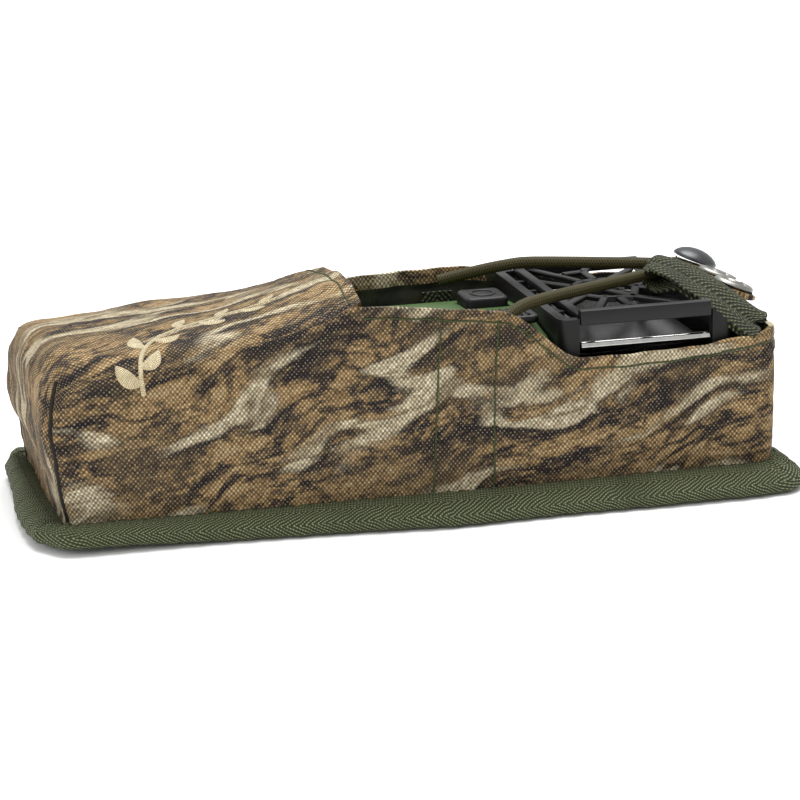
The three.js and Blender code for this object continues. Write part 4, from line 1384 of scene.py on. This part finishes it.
for name, s in studs.items():
    across = onStrap(1, 0, 0) - onStrap(0, 0, 0)
    up = onStrap(0, 0, 1) - onStrap(0, 0, 0)
    centre = onStrap(s["shift"][0], s["y"], strapSizes["thick"] + 0.15 + s["shift"][1])
    rows = [
        [
            centre + (across * math.cos(a) + Vector((0, 1, 0)) * math.sin(a)) * max(r, 0.01) + up * h
            for a in np.linspace(0, 2 * math.pi, 48, endpoint=False)
        ] for r,
        h in s["profile"]
    ]
    mesh = gridMesh(name, rows, None, False, True)
    work = bmesh.new()
    work.from_mesh(mesh)
    bmesh.ops.remove_doubles(work, verts=work.verts, dist=0.02 * mm)
    work.to_mesh(mesh)
    work.free()
    piece = smooth(pieceFrom("stud_" + name, outward(mesh), looks[s["look"]]), 50)
    attach(piece, "closure_strap", s["slot"], name)
print("closure strap made")


# The repeller: a CAD node's shape with its edges eased
def easedCopy(node, body, look, slot, bevel=0.5, segments=3, name=None):
    mesh = nodes[node].data.copy()
    work = bmesh.new()
    work.from_mesh(mesh)
    bmesh.ops.remove_doubles(work, verts=work.verts, dist=0.02 * mm)
    bmesh.ops.dissolve_limit(work, angle_limit=math.radians(2), verts=work.verts, edges=work.edges)
    work.to_mesh(mesh)
    work.free()
    mesh.materials.clear()
    piece = pieceFrom(name or node + "Eased", mesh, looks[look])
    ease = piece.modifiers.new("ease", "BEVEL")
    ease.width = bevel * mm
    ease.segments = segments
    ease.limit_method = "ANGLE"
    ease.angle_limit = math.radians(38)
    ease.use_clamp_overlap = True
    ease.harden_normals = False
    settle(piece)
    smooth(piece, 35)
    attach(piece, body, slot, node)
    return piece


easedCopy("front_shell", "holster", "green", "green_shell", 0.5)
easedCopy("rear_shell", "holster", "green", "green_shell", 0.5)
easedCopy("head_frame", "holster", "black", "black_plastic", 0.45)
easedCopy("igniter_button", "igniter_button", "black", "black_plastic", 0.35)
easedCopy("switch_slider", "switch_slider", "black", "black_plastic", 0.35)


# The spring under the button: the CAD node's shape with its edges barely eased.
springSizes = {"press": 2.5, "bevel": 0.05}


def makeSpring(s):
    spring = easedCopy("button_spring", "holster", "nickel", "nickel", s["bevel"], 1)
    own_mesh(spring)


makeSpring(springSizes)

# grips on the slide switch, run by the same tree as the grille, and a plain ring moulded on the button
gripSizes = {"width": 0.9, "rise": 0.45, "pitch": 2.1, "ribs": 5}


def makeGrips(s):
    low, high = (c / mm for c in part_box("switch_slider"))
    middle = (low.x + high.x) / 2
    xs = [middle + (i - (s["ribs"] - 1) / 2) * s["pitch"] for i in range(s["ribs"])]
    lines = [[(x, low.y + 1.6), (x, high.y - 1.6)] for x in xs]
    piece = makeRibs("sliderGrips", lines, s["width"], high.z - 0.3, high.z + s["rise"], "black")
    return attach(smooth(piece, 35), "switch_slider", "black_plastic")


ringSizes = {"radius": 3.4, "tube": 0.5, "sides": 10}


def makeRing(s):
    low, high = (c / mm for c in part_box("igniter_button"))
    centre = Vector(((low.x + high.x) / 2, (low.y + high.y) / 2, high.z + 0.02))
    rows = []
    for a in np.linspace(0, 2 * math.pi, 48, endpoint=False):
        out = Vector((math.cos(a), math.sin(a), 0))
        around = np.linspace(0, 2 * math.pi, s["sides"], endpoint=False)
        rows.append(
            [
                centre + out * (
                    s["radius"] + s["tube"] * math.cos(t)
                ) + Vector((0, 0, s["tube"] * 0.7 * math.sin(t)))
                for t in around
            ]
        )
    piece = pieceFrom("buttonRing", outward(gridMesh("buttonRing", rows, None, True, True)), looks["black"])
    return attach(smooth(piece, 60), "igniter_button", "black_plastic")


# heat shield: a pressed plate with its two long edges rolled
shield = {"thick": 0.8, "half": 29.6, "rollAt": (31.0, 42.7), "roll": 1.35, "shrink": 0.4}


def makeShield():
    s = shield
    low, high = (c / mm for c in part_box("heat_shield"))
    section = []
    for k in range(15):  # round the near roll, along the plate's top, round the far roll and back below
        a = math.radians(215 - k * 20)
        section.append((-s["rollAt"][0] + s["roll"] * math.cos(a), s["rollAt"][1] + s["roll"] * math.sin(a)))
    top = low.z + s["thick"]
    section += [(-s["half"] + 1.2, top + 0.2)] + [(y, top) for y in np.linspace(-s["half"] + 2.4, 0, 6)]
    section += [(-y, z) for y, z in section[-2::-1]]
    section += [(y, low.z) for y in np.linspace(s["half"], -s["half"], 10)]
    xs = np.linspace(low.x + s["shrink"], high.x - s["shrink"], 24)
    rows = [[(x, y, z + 0.02 * hills(x / 14, y / 9)) for y, z in section] for x in xs]
    return smooth(
        pieceFrom(
            "heatShield", outward(gridMesh("heatShield", rows, None, False, True, True)), looks["steel"]
        ),
        50
    )


attach(makeShield(), "holster", "polished_steel", "heat_shield")

# grille: rails and end bars, with ribs run along drawn lines by Geometry Nodes
grille = {
    "low": 48.9,
    "ribTop": 51.6,
    "railTop": 53.2,
    "farTop": 52.0,
    "rib": 1.5,
    "rail": 3.0,
    "bar": 2.6,
    # rib ends as shares of the web's length and half width, as in the part; each is also mirrored across
    "ribs": [
        (0.0, 0.5, 0.24, 0.18),
        (0.24, 0.18, 0.24, -0.18),
        (0.08, 1.0, 0.36, 0.34),
        (0.36, 0.34, 0.24, 0.18),
        (0.36, 0.34, 0.6, 0.36),
        (0.48, 0.35, 0.48, 0.72),
        (0.3, 0.68, 0.48, 0.72),
        (0.6, 0.36, 0.84, 0.64),
        (0.84, 0.64, 1.0, 1.0),
        (0.48, 0.72, 0.62, 1.0),
        (0.6, 0.36, 0.72, 0.0),
        (0.72, 0.0, 1.0, 0.3),
        (0.24, 0.0, 0.44, 0.0),
        (0.44, 0.0, 0.6, 0.36),
    ],
}


def ribTree():
    tree = bpy.data.node_groups.new("ribRun", "GeometryNodeTree")
    face = tree.interface
    face.new_socket("Lines", in_out="INPUT", socket_type="NodeSocketGeometry")
    for name in ("Width", "Height"):
        face.new_socket(name, in_out="INPUT", socket_type="NodeSocketFloat")
    face.new_socket("Material", in_out="INPUT", socket_type="NodeSocketMaterial")
    face.new_socket("Ribs", in_out="OUTPUT", socket_type="NodeSocketGeometry")
    add, link = tree.nodes.new, tree.links.new
    given, out = add("NodeGroupInput"), add("NodeGroupOutput")
    toCurve, section, sweep = add("GeometryNodeMeshToCurve"), add(
        "GeometryNodeCurvePrimitiveQuadrilateral"
    ), add("GeometryNodeCurveToMesh")
    link(given.outputs["Lines"], toCurve.inputs[0])
    link(given.outputs["Width"], section.inputs["Width"])
    link(given.outputs["Height"], section.inputs["Height"])
    soften = add("GeometryNodeFilletCurve")
    soften.inputs["Radius"].default_value = 0.3 * mm
    link(section.outputs[0], soften.inputs["Curve"])
    level = add("GeometryNodeSetCurveNormal")
    level.mode = "Z_UP"
    link(toCurve.outputs[0], level.inputs["Curve"])
    link(level.outputs[0], sweep.inputs["Curve"])
    link(soften.outputs[0], sweep.inputs["Profile Curve"])
    sweep.inputs["Fill Caps"].default_value = True
    real, paint = add("GeometryNodeRealizeInstances"), add("GeometryNodeSetMaterial")
    link(sweep.outputs[0], real.inputs[0])
    link(real.outputs[0], paint.inputs["Geometry"])
    link(given.outputs["Material"], paint.inputs["Material"])
    link(paint.outputs[0], out.inputs[0])
    return tree


ribRun = ribTree()


def makeRibs(name, lines, width, low, high, look):
    middles = [[(x, y, (low + high) / 2) for x, y in line] for line in lines]
    values = {"Width": (high - low) * mm, "Height": width * mm, "Material": looks[look]}
    return alongLines(name, middles, ribRun, values)


def webLines(s, low, high):  # a rib that is its own mirror image is kept once
    start, end = low.x + s["bar"] / 2, high.x - s["bar"] / 2
    half = high.y - s["rail"] / 2
    lines = []
    for side in (-1, 1):
        for u0, v0, u1, v1 in s["ribs"]:
            line = [(start + (end - start) * u, side * v * half) for u, v in ((u0, v0), (u1, v1))]
            if line not in lines and line[::-1] not in lines:
                lines.append(line)
    return lines


def makeGrille():
    low, high = (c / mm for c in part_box("grille_cover"))
    s = grille
    ribs = makeRibs("grilleRibs", webLines(s, low, high), s["rib"], s["low"] + 0.4, s["ribTop"], "black")
    work = bmesh.new()
    work.from_mesh(ribs.data)
    boxes = [
        ((low.x, low.y, s["low"]), (high.x, low.y + s["rail"], s["railTop"])),
        ((low.x, high.y - s["rail"], s["low"]), (high.x, high.y, s["farTop"])),
        ((low.x, low.y + 1, s["low"]), (low.x + s["bar"], high.y - 1, s["ribTop"])),
        ((high.x - s["bar"], low.y + 1, s["low"]), (high.x, high.y - 1, s["ribTop"])),
    ]
    for i, (a, b) in enumerate(boxes):
        bar = roundedBox(f"bar{i}", a, b, 0.35, 3)
        work.from_mesh(bar)
        bpy.data.meshes.remove(bar)
    mesh = ribs.data
    work.to_mesh(mesh)
    work.free()
    mesh.materials.clear()
    mesh.materials.append(looks["black"])
    for face in mesh.polygons:
        face.material_index = 0
    smooth(ribs, 35)
    attach(ribs, "holster", "black_plastic", "grille_cover")
    return ribs


makeGrille()
makeGrips(gripSizes)
makeRing(ringSizes)
print("repeller head made")

hidden = {
    "heater_block": "aluminium", "burner": "brass", "butane_cartridge": "aluminium",
    "cartridge_seal": "rubber", "gas_valve": "brass", "gas_tube": "brass",
    "igniter_piezo": "black", "shell_screw_1": "nickel", "shell_screw_2": "nickel",
    "shell_screw_3": "nickel", "shell_screw_4": "nickel",
}
for name, look in hidden.items():
    nodes[name].data.materials.clear()
    nodes[name].data.materials.append(looks[look])


# Floor, backdrop light and studio lamps
studio = {"world": 0.8, "key": 11.0, "side": 2.5}


def makeStudio(s):
    bench = Bench("paleFloor")
    at = bench.place((1, 1, 1))
    tone = bench.cloud(at, 3, 2.0) * 0.02 + 0.93
    bench.done(bench.node("ShaderNodeCombineColor", None, {0: tone, 1: tone, 2: tone}), 0.9)
    mesh = bpy.data.meshes.new("studioFloor")
    mesh.from_pydata([(-6, -6, 0), (6, -6, 0), (6, 6, 0), (-6, 6, 0)], [], [(0, 1, 2, 3)])
    floor = pieceFrom("studioFloor", mesh, bench.material)
    floor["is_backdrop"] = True
    world = bpy.data.worlds.new("studio")
    world.use_nodes = True
    world.node_tree.nodes["Background"].inputs[0].default_value = (1, 1, 1, 1)
    world.node_tree.nodes["Background"].inputs[1].default_value = s["world"]
    bpy.context.scene.world = world
    for name, place, size, power, aim in (
        ("keyLamp", (0.1, 0.2, 0.95), 0.7, s["key"], (0, 0, 0.02)),
        ("sideLamp", (-0.9, -0.5, 0.45), 0.5, s["side"], (0, 0, 0.03)),
    ):
        data = bpy.data.lights.new(name, "AREA")
        data.energy, data.size = power, size
        lamp = bpy.data.objects.new(name, data)
        lamp.location = place
        lamp.rotation_euler = (Vector(aim) - Vector(place)).to_track_quat("-Z", "Y").to_euler()
        bpy.context.scene.collection.objects.link(lamp)


makeStudio(studio)
print("studio lit")

low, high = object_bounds()
